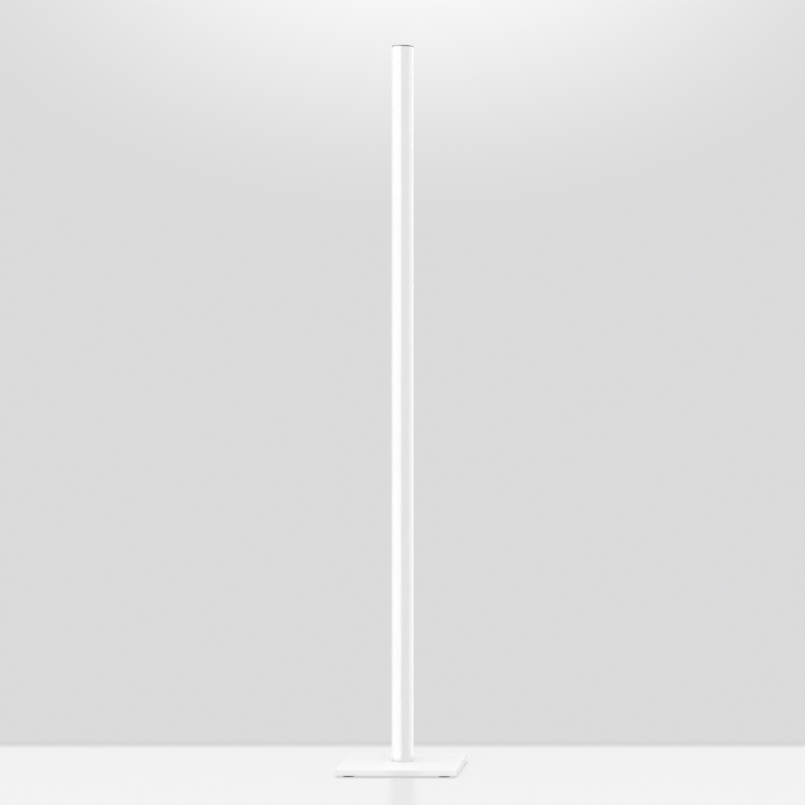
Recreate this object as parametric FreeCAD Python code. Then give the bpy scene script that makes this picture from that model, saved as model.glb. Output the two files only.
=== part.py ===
import FreeCAD, Part
import math
import os

# Outdoor floor lamp: a slim round column on a square steel plate, with a sealed LED head that lights upwards.
# Millimetres. The origin is on the floor under the column's axis, +Z is up and the front faces -Y.

# Overall
LAMP_HEIGHT = 1750.0
COLUMN_DIAMETER = 53.0
COLUMN_WALL = 2.5

# Base plate
BASE_WIDTH = 290.0
BASE_DEPTH = 290.0
BASE_THICKNESS = 15.0
BASE_CORNER_RADIUS = 15.0
BASE_EDGE_FILLET = 2.0
FILLET_SHARE_OF_WALL = 1 / 3
SEAT_DEPTH = 2.0
SEAT_CLEARANCE = 0.2
POCKET_MARGIN = 4.0
POCKET_HEADROOM = 0.6
COVER_THICKNESS = 1.5
COVER_LAND = 9.0
COVER_CLEARANCE = 0.3
CABLE_CHANNEL_WIDTH = 9.0
COLUMN_GASKET = 1.0
GASKET_HOLE_CLEARANCE = 0.6

# Rubber feet
FOOT_DIAMETER = 30.0
FOOT_HEIGHT = 5.0
FOOT_RECESS = 2.0
FOOT_INSET = 31.0
FOOT_TAPER = 1.0
FOOT_TAPER_HEIGHT = 2.0
FOOT_CLEARANCE = 0.3

# Screws: main machine screws, foot screws, cover and tray screws, lamp holder screws
SCREW_DIAMETER = 5.0
SCREW_HEAD_DIAMETER = 8.5
SCREW_HEAD_HEIGHT = 5.0
SCREW_GRIP = 16.0
FOOT_SCREW_DIAMETER = 4.0
FOOT_SCREW_HEAD_DIAMETER = 8.0
FOOT_SCREW_HEAD_HEIGHT = 2.6
FOOT_SCREW_SETBACK = 1.2
FOOT_SCREW_GRIP = 7.0
SMALL_SCREW_DIAMETER = 3.0
SMALL_SCREW_HEAD_DIAMETER = 5.5
SMALL_SCREW_HEAD_HEIGHT = 1.9
COVER_SCREW_GRIP = 6.0
TRAY_SCREW_TAIL = 0.6
HOLDER_SCREW_DIAMETER = 2.0
HOLDER_SCREW_HEAD_DIAMETER = 3.8
HOLDER_SCREW_HEAD_HEIGHT = 1.3
HOLDER_SCREW_GRIP = 4.0
HOLDER_SCREW_SINK = 0.5
SCREW_HOLE_CLEARANCE = 0.25
THREAD_CLEARANCE = 0.05
DRILL_ALLOWANCE = 1.0
SOCKET_SHARE_OF_HEAD = 0.5

# Cable gland inside the foot of the column
GLAND_THREAD_DIAMETER = 12.0
GLAND_BORE = 7.4
GLAND_ACROSS_FLATS = 15.0
GLAND_FLANGE = 4.0
GLAND_COLLAR_HEIGHT = 8.0
GLAND_COLLAR_WALL = 1.0
GLAND_SEAL_WALL = 1.2
GLAND_SEAL_RISE = 2.0
GLAND_DOME_RISE = 5.0
LOCKNUT_ACROSS_FLATS = 17.0
LOCKNUT_THICKNESS = 3.0
GLAND_TAIL = 0.8
GLAND_GAP = 0.3

# Column extrusion: screw ports and tray guides
PORT_COUNT = 4
PORT_WALL = 1.7
PORT_RIB = 3.0
PORT_SLOT = 1.6
GUIDE_WALL = 1.5
GUIDE_REACH = 3.5
GUIDE_CLEARANCE = 0.2

# Gear tray, terminal block and driver
TRAY_THICKNESS = 1.5
TRAY_EDGE_GAP = 0.4
TRAY_NOTCH_GAP = 1.5
TRAY_OVERHANG = 12.0
GEAR_GAP = 0.6
TERMINAL_RISE = 55.0
TERMINAL_HEIGHT = 20.0
TERMINAL_SETBACK = 1.5
TERMINAL_WAYS = 3
TERMINAL_PITCH = 7.0
TERMINAL_SCREW_WELL = 3.6
TERMINAL_FLOOR = 2.5
DRIVER_LENGTH = 150.0
DRIVER_EDGE = 2.0
DRIVER_CAP = 6.0
DRIVER_CAP_INSET = 0.5
EAR_LENGTH = 9.0
EAR_THICKNESS = 2.5
EAR_MARGIN = 5.0

# Inner leads
SUPPLY_LEAD_DIAMETER = 2.2
SUPPLY_LEAD_RUN = 40.0
SUPPLY_LEAD_ENTRY = 5.0
LED_LEAD_DIAMETER = 4.5
BUTTON_LEAD_DIAMETER = 3.0
LEAD_SPACING = 5.0
LEAD_RISE = 45.0
LEAD_CROSSING = 90.0
LEAD_HOLE_CLEARANCE = 0.1
ARC_SHARE = 0.45

# Push-button at the back of the column
BUTTON_HEIGHT = 1150.0
BUTTON_FLANGE_DIAMETER = 15.0
BUTTON_FLANGE = 1.6
BUTTON_FLANGE_CHAMFER = 0.5
BUTTON_BARREL_DIAMETER = 12.0
BUTTON_BARREL_LENGTH = 14.0
BUTTON_SEAL = 0.6
BUTTON_SEAL_INSET = 0.4
BUTTON_CAP_DIAMETER = 9.0
BUTTON_CAP_CROWN = 0.5
BUTTON_SHOULDER = 1.5
BUTTON_SHOULDER_STEP = 0.6
BUTTON_TRAVEL = 1.5
BUTTON_PROUD = 2.0
BUTTON_LIP = 1.2
BUTTON_NUT_ACROSS_FLATS = 15.0
BUTTON_NUT = 2.5
BUTTON_LEAD_TURN = 12.0
BUTTON_LEAD_DROP = 60.0
RUNNING_CLEARANCE = 0.06
STOP_GAP = 0.05

# Head: finned housing, LED, reflector, glass and ring
HEAD_CLEARANCE = 0.15
CUP_WALL = 1.65
CUP_FLOOR = 7.0
SCREW_HEAD_GAP = 0.35
CORE_CLEARANCE = 0.6
FIN_COUNT = 12
FIN_THICKNESS = 1.6
FIN_CORE_DIAMETER = 10.0
FIN_LENGTH = 60.0
O_RING_SECTION = 1.6
GROMMET_WALL = 0.9
GROMMET_LIP = 1.0
GROMMET_FLANGE = 1.2
GROMMET_GAP = 0.5
THERMAL_PAD = 0.5
LED_BOARD = 1.5
LED_EMITTER = 0.8
EMITTER_MARGIN = 2.2
HOLDER_HEIGHT = 5.0
HOLDER_WALL = 4.4
HOLDER_FIT = 0.1
LUG_RISE = 2.2
LUG_MARGIN = 1.2
THROAT_FLARE = 1.6
REFLECTOR_HEIGHT = 26.0
REFLECTOR_WALL = 0.8
REFLECTOR_FLANGE = 1.2
GLASS_THICKNESS = 4.0
GLASS_OVERLAP = 2.0
GLASS_EDGE_CHAMFER = 0.4
LENS_GASKET_WALL = 1.2
LENS_GASKET_WEB = 1.0
LENS_GASKET_GRIP = 1.5
RING_HEIGHT = 3.0
RING_LIP = 1.5
RING_BEVEL = 1.2
RING_CHAMFER = 0.4
SKIRT_WALL = 1.65
SKIRT_LENGTH = 9.0
SPANNER_HOLE_DIAMETER = 3.0
SPANNER_HOLE_DEPTH = 1.5

# Heights of the base, from the floor up
plate_bottom = FOOT_HEIGHT
plate_top = plate_bottom + BASE_THICKNESS
seat_floor = plate_top - SEAT_DEPTH
pocket_top = plate_bottom + COVER_THICKNESS + SCREW_HEAD_HEIGHT + POCKET_HEADROOM
column_bottom = seat_floor + COLUMN_GASKET

# Heights of the head, from the top down
column_top = LAMP_HEIGHT - RING_HEIGHT
lip_bottom = LAMP_HEIGHT - RING_LIP
glass_top = lip_bottom - LENS_GASKET_WEB
glass_bottom = glass_top - GLASS_THICKNESS
flange_top = glass_bottom - LENS_GASKET_WEB
holder_top = flange_top - REFLECTOR_HEIGHT
cup_floor_top = holder_top - HOLDER_HEIGHT
cup_bottom = cup_floor_top - CUP_FLOOR

# Radii from the column's skin inwards
column_r = COLUMN_DIAMETER / 2
bore_r = column_r - COLUMN_WALL
cup_r = bore_r - HEAD_CLEARANCE
cup_inner_r = cup_r - CUP_WALL
skirt_r = cup_inner_r - THREAD_CLEARANCE
skirt_inner_r = skirt_r - SKIRT_WALL
lens_gasket_r = skirt_inner_r - THREAD_CLEARANCE
glass_r = lens_gasket_r - LENS_GASKET_WALL - THREAD_CLEARANCE
window_r = glass_r - GLASS_OVERLAP

# Screw ports of the extrusion: the screw heads of the head housing have to pass inside its wall
screw_r = SCREW_DIAMETER / 2
screw_head_r = SCREW_HEAD_DIAMETER / 2
screw_hole_r = screw_r + SCREW_HOLE_CLEARANCE
port_bore_r = screw_r + THREAD_CLEARANCE
port_r = port_bore_r + PORT_WALL
port_circle_r = cup_inner_r - screw_head_r - SCREW_HEAD_GAP
port_offset = port_circle_r * math.cos(math.pi / PORT_COUNT)
core_r = port_circle_r - max(port_r, screw_head_r) - CORE_CLEARANCE

# Gear space between the front and back pairs of ports, with the tray against the back pair
tray_back = port_offset - port_r - GEAR_GAP
tray_front = tray_back - TRAY_THICKNESS
gear_front = -tray_back
gear_middle = (gear_front + tray_front) / 2
tray_half_width = math.sqrt(bore_r ** 2 - tray_back ** 2) - TRAY_EDGE_GAP
guide_tip = tray_half_width - GUIDE_REACH
driver_half_width = guide_tip - GEAR_GAP
terminal_front = gear_front + TERMINAL_SETBACK
terminal_bottom = column_bottom + TERMINAL_RISE
terminal_top = terminal_bottom + TERMINAL_HEIGHT
lower_cap_bottom = terminal_top + SUPPLY_LEAD_RUN
driver_bottom = lower_cap_bottom + DRIVER_CAP
driver_top = driver_bottom + DRIVER_LENGTH
upper_cap_top = driver_top + DRIVER_CAP
tray_top = upper_cap_top + EAR_LENGTH + TRAY_OVERHANG
ear_screw_x = driver_half_width - EAR_MARGIN

# Base pocket, cover and gland
pocket_r = port_circle_r + screw_head_r + POCKET_MARGIN
cover_r = pocket_r + COVER_LAND
cover_screw_circle_r = pocket_r + COVER_LAND / 2
gland_r = GLAND_THREAD_DIAMETER / 2
gland_corner_r = GLAND_ACROSS_FLATS / math.sqrt(3)
gland_flange_top = seat_floor + GLAND_FLANGE
gland_collar_top = gland_flange_top + GLAND_COLLAR_HEIGHT
gland_seal_seat = gland_flange_top + GLAND_SEAL_RISE
gland_top = gland_collar_top + GLAND_GAP + GLAND_DOME_RISE
gland_collar_bore_r = GLAND_BORE / 2 + GLAND_SEAL_WALL + THREAD_CLEARANCE
gland_collar_r = gland_collar_bore_r + GLAND_COLLAR_WALL

# Lead through the floor of the head
led_lead_r = LED_LEAD_DIAMETER / 2
grommet_r = led_lead_r + LEAD_HOLE_CLEARANCE + GROMMET_WALL
grommet_flange_r = grommet_r + GROMMET_LIP
led_lead_y = -(core_r + GROMMET_GAP + grommet_flange_r)

# LED, its holder and the reflector's throat
board_r = core_r - HOLDER_WALL
emitter_r = board_r - EMITTER_MARGIN
throat_r = emitter_r + THROAT_FLARE
board_top = cup_floor_top + THERMAL_PAD + LED_BOARD
holder_screw_circle_r = core_r - HOLDER_WALL / 2
holder_screw_seat = holder_top - HOLDER_SCREW_HEAD_HEIGHT - HOLDER_SCREW_SINK

# Push-button seat on the round column, in heights along the button's own axis
button_flange_r = BUTTON_FLANGE_DIAMETER / 2
button_seat_y = math.sqrt(column_r ** 2 - (button_flange_r + SEAT_CLEARANCE) ** 2)
button_barrel_r = BUTTON_BARREL_DIAMETER / 2
button_face = BUTTON_SEAL + BUTTON_FLANGE
button_lip_bottom = button_face - BUTTON_LIP
button_barrel_end = BUTTON_SEAL - BUTTON_BARREL_LENGTH
button_shoulder_top = button_lip_bottom - STOP_GAP
button_shoulder_bottom = button_shoulder_top - BUTTON_SHOULDER
button_well_bottom = button_shoulder_bottom - BUTTON_TRAVEL - STOP_GAP
button_cap_r = BUTTON_CAP_DIAMETER / 2
button_shoulder_r = button_cap_r + BUTTON_SHOULDER_STEP
button_nut_corner_r = BUTTON_NUT_ACROSS_FLATS / math.sqrt(3)
button_nut_face_y = math.sqrt(bore_r ** 2 - button_nut_corner_r ** 2) - STOP_GAP

UP = FreeCAD.Vector(0, 0, 1)
DOWN = FreeCAD.Vector(0, 0, -1)
FRONT = FreeCAD.Vector(0, -1, 0)
BACK = FreeCAD.Vector(0, 1, 0)
COS_60 = 0.5


# Small building tools

def point(x, y, z):
    return FreeCAD.Vector(x, y, z)


def cylinder(radius, low, high, x=0.0, y=0.0):
    """Upright round bar between two heights."""
    return Part.makeCylinder(radius, high - low, point(x, y, low))


def block(x_low, x_high, y_low, y_high, low, high):
    """Box between two corners."""
    return Part.makeBox(x_high - x_low, y_high - y_low, high - low, point(x_low, y_low, low))


def hexagon(across_flats, low, high):
    """Upright six-sided bar on the axis, with flats towards the front and back."""
    corner_r = across_flats / math.sqrt(3)
    angles = [math.radians(60 * corner) for corner in range(7)]
    outline = Part.makePolygon([point(corner_r * math.cos(a), corner_r * math.sin(a), low) for a in angles])
    return Part.Face(outline).extrude(point(0, 0, high - low))


def turned(profile):
    """Solid of revolution about Z from (radius, height) corners."""
    corners = [point(radius, 0, height) for radius, height in profile]
    return Part.Face(Part.makePolygon(corners + corners[:1])).revolve(point(0, 0, 0), UP, 360)


def upright_edges(shape):
    """Edges that run straight up."""
    return [edge for edge in shape.Edges if abs(edge.tangentAt(edge.FirstParameter).z) > COS_60]


def level_bar(radius, length, x, y, z):
    """Round bar along +Y, from its front end."""
    return Part.makeCylinder(radius, length, point(x, y, z), BACK)


def around(count, radius):
    """Places evenly spaced on a circle, the first half a step round from +X."""
    angles = [2 * math.pi * (step + 0.5) / count for step in range(count)]
    return [(radius * math.cos(a), radius * math.sin(a)) for a in angles]


def aimed(shape, place, direction):
    """Copy of a shape built along +Z, turned to a direction and moved to its place."""
    copy = shape.copy()
    copy.Placement = FreeCAD.Placement(place, FreeCAD.Rotation(UP, direction))
    return copy


def screw(radius, reach, head_r, head_height):
    """Screw along +Z with its head's bearing face at zero and a hexagon socket in the head."""
    socket_depth = head_height * SOCKET_SHARE_OF_HEAD
    body = cylinder(head_r, -head_height, 0).fuse(cylinder(radius, 0, reach)).removeSplitter()
    return body.cut(hexagon(head_r, -head_height, -head_height + socket_depth))


def lead(corners, diameter):
    """Round lead along straight runs joined by arcs as large as the runs allow."""
    edges = []
    start = corners[0]
    for before, corner, after in zip(corners, corners[1:], corners[2:]):
        arriving = (corner - before).normalize()
        leaving = (after - corner).normalize()
        half_turn = arriving.getAngle(leaving) / 2
        setback = ARC_SHARE * min((corner - before).Length, (after - corner).Length)
        radius = setback / math.tan(half_turn)
        inward = (leaving - arriving).normalize()
        middle = corner + inward * (radius / math.cos(half_turn) - radius)
        arc_start = corner - arriving * setback
        arc_end = corner + leaving * setback
        edges.append(Part.LineSegment(start, arc_start).toShape())
        edges.append(Part.Arc(arc_start, middle, arc_end).toShape())
        print("lead bend radius", round(radius, 1), "for diameter", diameter)
        start = arc_end
    edges.append(Part.LineSegment(start, corners[-1]).toShape())
    path = Part.Wire(edges)
    section = Part.Wire(Part.Circle(corners[0], corners[1] - corners[0], diameter / 2).toShape())
    return path.makePipeShell([section], True, False)


def save(name, *solids):
    """Write one node, and print what it holds."""
    shape = solids[0] if len(solids) == 1 else Part.makeCompound(solids)
    shape.exportStep(f"parts/{name}.step")
    print(f"{name}: {len(shape.Solids)} solids, valid {shape.isValid()}, {shape.Volume / 1000:.2f} cm3")


# Base plate, feet and cover

def foot_places():
    x = BASE_WIDTH / 2 - FOOT_INSET
    y = BASE_DEPTH / 2 - FOOT_INSET
    return {"front_left": (-x, -y), "front_right": (x, -y), "rear_left": (-x, y), "rear_right": (x, y)}


def base_plate():
    """Square steel plate: seat for the column above, pocket, cable channel and foot recesses below."""
    half_width = BASE_WIDTH / 2
    half_depth = BASE_DEPTH / 2
    plate = block(-half_width, half_width, -half_depth, half_depth, plate_bottom, plate_top)
    plate = plate.makeFillet(BASE_CORNER_RADIUS, upright_edges(plate))
    rim = [edge for edge in plate.Edges if edge.BoundBox.ZMin > plate_top - STOP_GAP]
    plate = plate.makeFillet(min(BASE_EDGE_FILLET, BASE_THICKNESS * FILLET_SHARE_OF_WALL), rim)
    cuts = [
        cylinder(column_r + SEAT_CLEARANCE, seat_floor, plate_top),
        cylinder(gland_r + LEAD_HOLE_CLEARANCE, pocket_top, seat_floor),
        cylinder(pocket_r, plate_bottom, pocket_top),
        cylinder(cover_r + COVER_CLEARANCE, plate_bottom, plate_bottom + COVER_THICKNESS),
        block(-CABLE_CHANNEL_WIDTH / 2, CABLE_CHANNEL_WIDTH / 2, 0, half_depth, plate_bottom, pocket_top),
    ]
    for x, y in around(PORT_COUNT, port_circle_r):
        cuts.append(cylinder(screw_hole_r, pocket_top, seat_floor, x, y))
    cover_hole_r = SMALL_SCREW_DIAMETER / 2 + THREAD_CLEARANCE
    cover_hole_top = plate_bottom + COVER_THICKNESS + COVER_SCREW_GRIP + DRILL_ALLOWANCE
    for x, y in around(PORT_COUNT, cover_screw_circle_r):
        cuts.append(cylinder(cover_hole_r, plate_bottom, cover_hole_top, x, y))
    foot_seat = plate_bottom + FOOT_RECESS
    foot_hole_top = foot_seat + FOOT_SCREW_GRIP + DRILL_ALLOWANCE
    for x, y in foot_places().values():
        cuts.append(cylinder(FOOT_DIAMETER / 2 + FOOT_CLEARANCE, plate_bottom, foot_seat, x, y))
        cuts.append(cylinder(FOOT_SCREW_DIAMETER / 2 + THREAD_CLEARANCE, foot_seat, foot_hole_top, x, y))
    return plate.cut(cuts)


def foot():
    """Tapered rubber puck with a stepped hole that hides its screw."""
    top = FOOT_HEIGHT + FOOT_RECESS
    foot_r = FOOT_DIAMETER / 2
    hole_r = FOOT_SCREW_DIAMETER / 2 + SCREW_HOLE_CLEARANCE
    well_r = FOOT_SCREW_HEAD_DIAMETER / 2 + SCREW_HOLE_CLEARANCE
    well_top = FOOT_SCREW_SETBACK + FOOT_SCREW_HEAD_HEIGHT
    return turned([
        (well_r, 0), (foot_r - FOOT_TAPER, 0), (foot_r, FOOT_TAPER_HEIGHT), (foot_r, top),
        (hole_r, top), (hole_r, well_top), (well_r, well_top),
    ])


def foot_screws():
    seat = FOOT_SCREW_SETBACK + FOOT_SCREW_HEAD_HEIGHT
    reach = plate_bottom + FOOT_RECESS + FOOT_SCREW_GRIP - seat
    one = screw(FOOT_SCREW_DIAMETER / 2, reach, FOOT_SCREW_HEAD_DIAMETER / 2, FOOT_SCREW_HEAD_HEIGHT)
    return [aimed(one, point(x, y, seat), UP) for x, y in foot_places().values()]


def base_cover():
    """Round sheet-metal cover, flush with the underside of the plate."""
    cover = cylinder(cover_r, plate_bottom, plate_bottom + COVER_THICKNESS)
    hole_r = SMALL_SCREW_DIAMETER / 2 + SCREW_HOLE_CLEARANCE
    places = around(PORT_COUNT, cover_screw_circle_r)
    holes = [cylinder(hole_r, plate_bottom, plate_bottom + COVER_THICKNESS, x, y) for x, y in places]
    return cover.cut(holes)


def base_cover_screws():
    one = screw(SMALL_SCREW_DIAMETER / 2, COVER_THICKNESS + COVER_SCREW_GRIP,
                SMALL_SCREW_HEAD_DIAMETER / 2, SMALL_SCREW_HEAD_HEIGHT)
    return [aimed(one, point(x, y, plate_bottom), UP) for x, y in around(PORT_COUNT, cover_screw_circle_r)]


def column_screws():
    """Cap screws from the pocket, through the plate and gasket, into the column's ports."""
    one = screw(screw_r, column_bottom + SCREW_GRIP - pocket_top, screw_head_r, SCREW_HEAD_HEIGHT)
    return [aimed(one, point(x, y, pocket_top), UP) for x, y in around(PORT_COUNT, port_circle_r)]


def column_gasket():
    gasket = cylinder(column_r, seat_floor, column_bottom)
    cuts = [cylinder(gland_corner_r + GASKET_HOLE_CLEARANCE, seat_floor, column_bottom)]
    for x, y in around(PORT_COUNT, port_circle_r):
        cuts.append(cylinder(screw_hole_r, seat_floor, column_bottom, x, y))
    return gasket.cut(cuts)


# Cable gland

def gland_body():
    """Hexagon flange on the plate, threaded tail through it and a collar for the seal above."""
    tail_bottom = pocket_top - LOCKNUT_THICKNESS - GLAND_TAIL
    body = cylinder(gland_r, tail_bottom, seat_floor).fuse([
        hexagon(GLAND_ACROSS_FLATS, seat_floor, gland_flange_top),
        cylinder(gland_collar_r, gland_flange_top, gland_collar_top),
    ])
    return body.cut([
        cylinder(GLAND_BORE / 2, tail_bottom, gland_collar_top),
        cylinder(gland_collar_bore_r, gland_seal_seat, gland_collar_top),
    ])


def gland_seal():
    sleeve = cylinder(GLAND_BORE / 2 + GLAND_SEAL_WALL, gland_seal_seat, gland_collar_top)
    return sleeve.cut(cylinder(GLAND_BORE / 2, gland_seal_seat, gland_collar_top))


def gland_dome():
    """Domed clamping nut over the collar."""
    low = gland_flange_top + GLAND_GAP
    cavity_r = gland_collar_r + THREAD_CLEARANCE
    cavity_top = gland_collar_top + GLAND_GAP
    shoulder_r = GLAND_ACROSS_FLATS / 2
    mouth_r = GLAND_BORE / 2
    rim_r = mouth_r + GLAND_COLLAR_WALL
    dome = turned([
        (0, cavity_top - GLAND_GAP), (shoulder_r, cavity_top - GLAND_GAP), (rim_r, gland_top), (0, gland_top),
    ])
    nut = hexagon(GLAND_ACROSS_FLATS, low, cavity_top - GLAND_GAP).fuse(dome)
    return nut.cut([cylinder(cavity_r, low, cavity_top), cylinder(mouth_r, cavity_top, gland_top)])


def gland_locknut():
    low = pocket_top - LOCKNUT_THICKNESS
    nut = hexagon(LOCKNUT_ACROSS_FLATS, low, pocket_top)
    return nut.cut(cylinder(gland_r + THREAD_CLEARANCE, low, pocket_top))


# Column

def column_tube():
    """Aluminium extrusion: round skin, four open screw ports on ribs and two pairs of tray guides."""
    skin = cylinder(column_r, column_bottom, column_top).cut(cylinder(bore_r, column_bottom, column_top))
    inner = []
    cuts = []
    for step, (x, y) in enumerate(around(PORT_COUNT, port_circle_r)):
        angle = 360 * (step + 0.5) / PORT_COUNT
        rib = block(port_circle_r, column_r, -PORT_RIB / 2, PORT_RIB / 2, column_bottom, cup_bottom)
        slot = block(0, port_circle_r, -PORT_SLOT / 2, PORT_SLOT / 2, column_bottom, cup_bottom)
        inner.append(cylinder(port_r, column_bottom, cup_bottom, x, y))
        inner.append(rib.rotate(point(0, 0, 0), UP, angle))
        cuts.append(cylinder(port_bore_r, column_bottom, cup_bottom, x, y))
        cuts.append(slot.rotate(point(0, 0, 0), UP, angle))
    front_guide = tray_front - GUIDE_CLEARANCE - GUIDE_WALL
    back_guide = tray_back + GUIDE_CLEARANCE
    for low_y in (front_guide, back_guide):
        inner.append(block(guide_tip, column_r, low_y, low_y + GUIDE_WALL, column_bottom, cup_bottom))
        inner.append(block(-column_r, -guide_tip, low_y, low_y + GUIDE_WALL, column_bottom, cup_bottom))
    within_skin = cylinder(bore_r + COLUMN_WALL / 2, column_bottom, cup_bottom)
    inner = inner[0].fuse(inner[1:]).common(within_skin).cut(cuts)
    tube = skin.fuse(inner).removeSplitter()
    return tube.cut([
        level_bar(button_flange_r + SEAT_CLEARANCE, column_r, 0, button_seat_y, BUTTON_HEIGHT),
        level_bar(button_barrel_r + LEAD_HOLE_CLEARANCE, column_r, 0, 0, BUTTON_HEIGHT),
    ])


# Gear tray and what it carries

def tray_hole(x, z):
    """Tapped hole through the tray, along Y."""
    return level_bar(SMALL_SCREW_DIAMETER / 2 + THREAD_CLEARANCE, TRAY_THICKNESS, x, tray_front, z)


def tray_screw(x, head_seat_y, z):
    """Small screw from the front into the tray."""
    reach = tray_back - head_seat_y + TRAY_SCREW_TAIL
    one = screw(SMALL_SCREW_DIAMETER / 2, reach, SMALL_SCREW_HEAD_DIAMETER / 2, SMALL_SCREW_HEAD_HEIGHT)
    return aimed(one, point(x, head_seat_y, z), BACK)


def driver_screw_places():
    heights = (lower_cap_bottom - EAR_LENGTH / 2, upper_cap_top + EAR_LENGTH / 2)
    return [(x, z) for z in heights for x in (-ear_screw_x, ear_screw_x)]


def terminal_screw_places():
    middle = (terminal_bottom + terminal_top) / 2
    return [(-ear_screw_x, middle), (ear_screw_x, middle)]


def gear_tray():
    """Aluminium strip that slides in the column's guides and stands on the gasket astride the gland."""
    tray = block(-tray_half_width, tray_half_width, tray_front, tray_back, column_bottom, tray_top)
    notch_half = gland_corner_r + TRAY_NOTCH_GAP
    notch_top = gland_top + TRAY_NOTCH_GAP
    cuts = [block(-notch_half, notch_half, tray_front, tray_back, column_bottom, notch_top)]
    for x, z in driver_screw_places() + terminal_screw_places():
        cuts.append(tray_hole(x, z))
    return tray.cut(cuts)


def terminal_ways():
    return [TERMINAL_PITCH * (way - (TERMINAL_WAYS - 1) / 2) for way in range(TERMINAL_WAYS)]


def terminal_block():
    """Moulded block with wire ways up and down, screw wells in front and a fixing hole at each end."""
    half_width = driver_half_width
    body = block(-half_width, half_width, terminal_front, tray_front, terminal_bottom, terminal_top)
    wire_r = SUPPLY_LEAD_DIAMETER / 2 + LEAD_HOLE_CLEARANCE
    wire_well = gear_middle - terminal_front - wire_r - STOP_GAP
    cuts = []
    for x in terminal_ways():
        cuts.append(cylinder(wire_r, terminal_top - SUPPLY_LEAD_ENTRY, terminal_top, x, gear_middle))
        cuts.append(cylinder(wire_r, terminal_bottom, terminal_bottom + SUPPLY_LEAD_ENTRY, x, gear_middle))
        for z in (terminal_bottom + SUPPLY_LEAD_ENTRY, terminal_top - SUPPLY_LEAD_ENTRY):
            cuts.append(level_bar(TERMINAL_SCREW_WELL / 2, wire_well, x, terminal_front, z))
    depth = tray_front - terminal_front
    hole_r = SMALL_SCREW_DIAMETER / 2 + SCREW_HOLE_CLEARANCE
    well_r = SMALL_SCREW_HEAD_DIAMETER / 2 + SCREW_HOLE_CLEARANCE
    for x, z in terminal_screw_places():
        cuts.append(level_bar(hole_r, depth, x, terminal_front, z))
        cuts.append(level_bar(well_r, depth - TERMINAL_FLOOR, x, terminal_front, z))
    return body.cut(cuts)


def driver_case():
    """Potted LED driver: a plain extruded case with rounded long edges."""
    case = block(-driver_half_width, driver_half_width, gear_front, tray_front, driver_bottom, driver_top)
    edge_limit = (tray_front - gear_front) * FILLET_SHARE_OF_WALL
    return case.makeFillet(min(DRIVER_EDGE, edge_limit), upright_edges(case))


def driver_cap(low, high, ear_low, ear_high, lead_holes):
    """End cap with a fixing ear against the tray and a hole for each lead."""
    half_width = driver_half_width - DRIVER_CAP_INSET
    cap = block(-half_width, half_width, gear_front + DRIVER_CAP_INSET, tray_front, low, high)
    ear = block(-half_width, half_width, tray_front - EAR_THICKNESS, tray_front, ear_low, ear_high)
    hole_r = SMALL_SCREW_DIAMETER / 2 + SCREW_HOLE_CLEARANCE
    ear_middle = (ear_low + ear_high) / 2
    cuts = []
    for x, diameter in lead_holes:
        cuts.append(cylinder(diameter / 2 + LEAD_HOLE_CLEARANCE, low, high, x, gear_middle))
    for x in (-ear_screw_x, ear_screw_x):
        cuts.append(level_bar(hole_r, EAR_THICKNESS, x, tray_front - EAR_THICKNESS, ear_middle))
    return cap.fuse(ear).removeSplitter().cut(cuts)


def driver_cap_lower():
    holes = [(x, SUPPLY_LEAD_DIAMETER) for x in terminal_ways()]
    return driver_cap(lower_cap_bottom, driver_bottom, lower_cap_bottom - EAR_LENGTH, lower_cap_bottom, holes)


def driver_cap_upper():
    holes = [(-LEAD_SPACING, LED_LEAD_DIAMETER), (LEAD_SPACING, BUTTON_LEAD_DIAMETER)]
    return driver_cap(driver_top, upper_cap_top, upper_cap_top, upper_cap_top + EAR_LENGTH, holes)


def driver_screws():
    return [tray_screw(x, tray_front - EAR_THICKNESS, z) for x, z in driver_screw_places()]


def terminal_screws():
    return [tray_screw(x, tray_front - TERMINAL_FLOOR, z) for x, z in terminal_screw_places()]


# Inner leads

def supply_leads():
    """Three straight leads from the terminal block up into the driver."""
    low = terminal_top - SUPPLY_LEAD_ENTRY
    return [cylinder(SUPPLY_LEAD_DIAMETER / 2, low, driver_bottom, x, gear_middle) for x in terminal_ways()]


def led_lead():
    """Lead from the driver up the front of the column, through the head's floor to the LED holder."""
    crossing_low = driver_top + DRIVER_CAP + LEAD_RISE
    return lead([
        point(-LEAD_SPACING, gear_middle, driver_top),
        point(-LEAD_SPACING, gear_middle, crossing_low),
        point(0, led_lead_y, crossing_low + LEAD_CROSSING),
        point(0, led_lead_y, cup_floor_top + LUG_RISE),
    ], LED_LEAD_DIAMETER)


def button_lead():
    """Lead from the push-button down to the driver."""
    leaves_y = button_seat_y + button_barrel_end
    return lead([
        point(0, leaves_y, BUTTON_HEIGHT),
        point(0, leaves_y - BUTTON_LEAD_TURN, BUTTON_HEIGHT),
        point(LEAD_SPACING, gear_middle, BUTTON_HEIGHT - BUTTON_LEAD_DROP),
        point(LEAD_SPACING, gear_middle, driver_top),
    ], BUTTON_LEAD_DIAMETER)


# Push-button, built along its own axis and aimed at the back

def at_button(shape):
    return aimed(shape, point(0, button_seat_y, BUTTON_HEIGHT), BACK)


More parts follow.
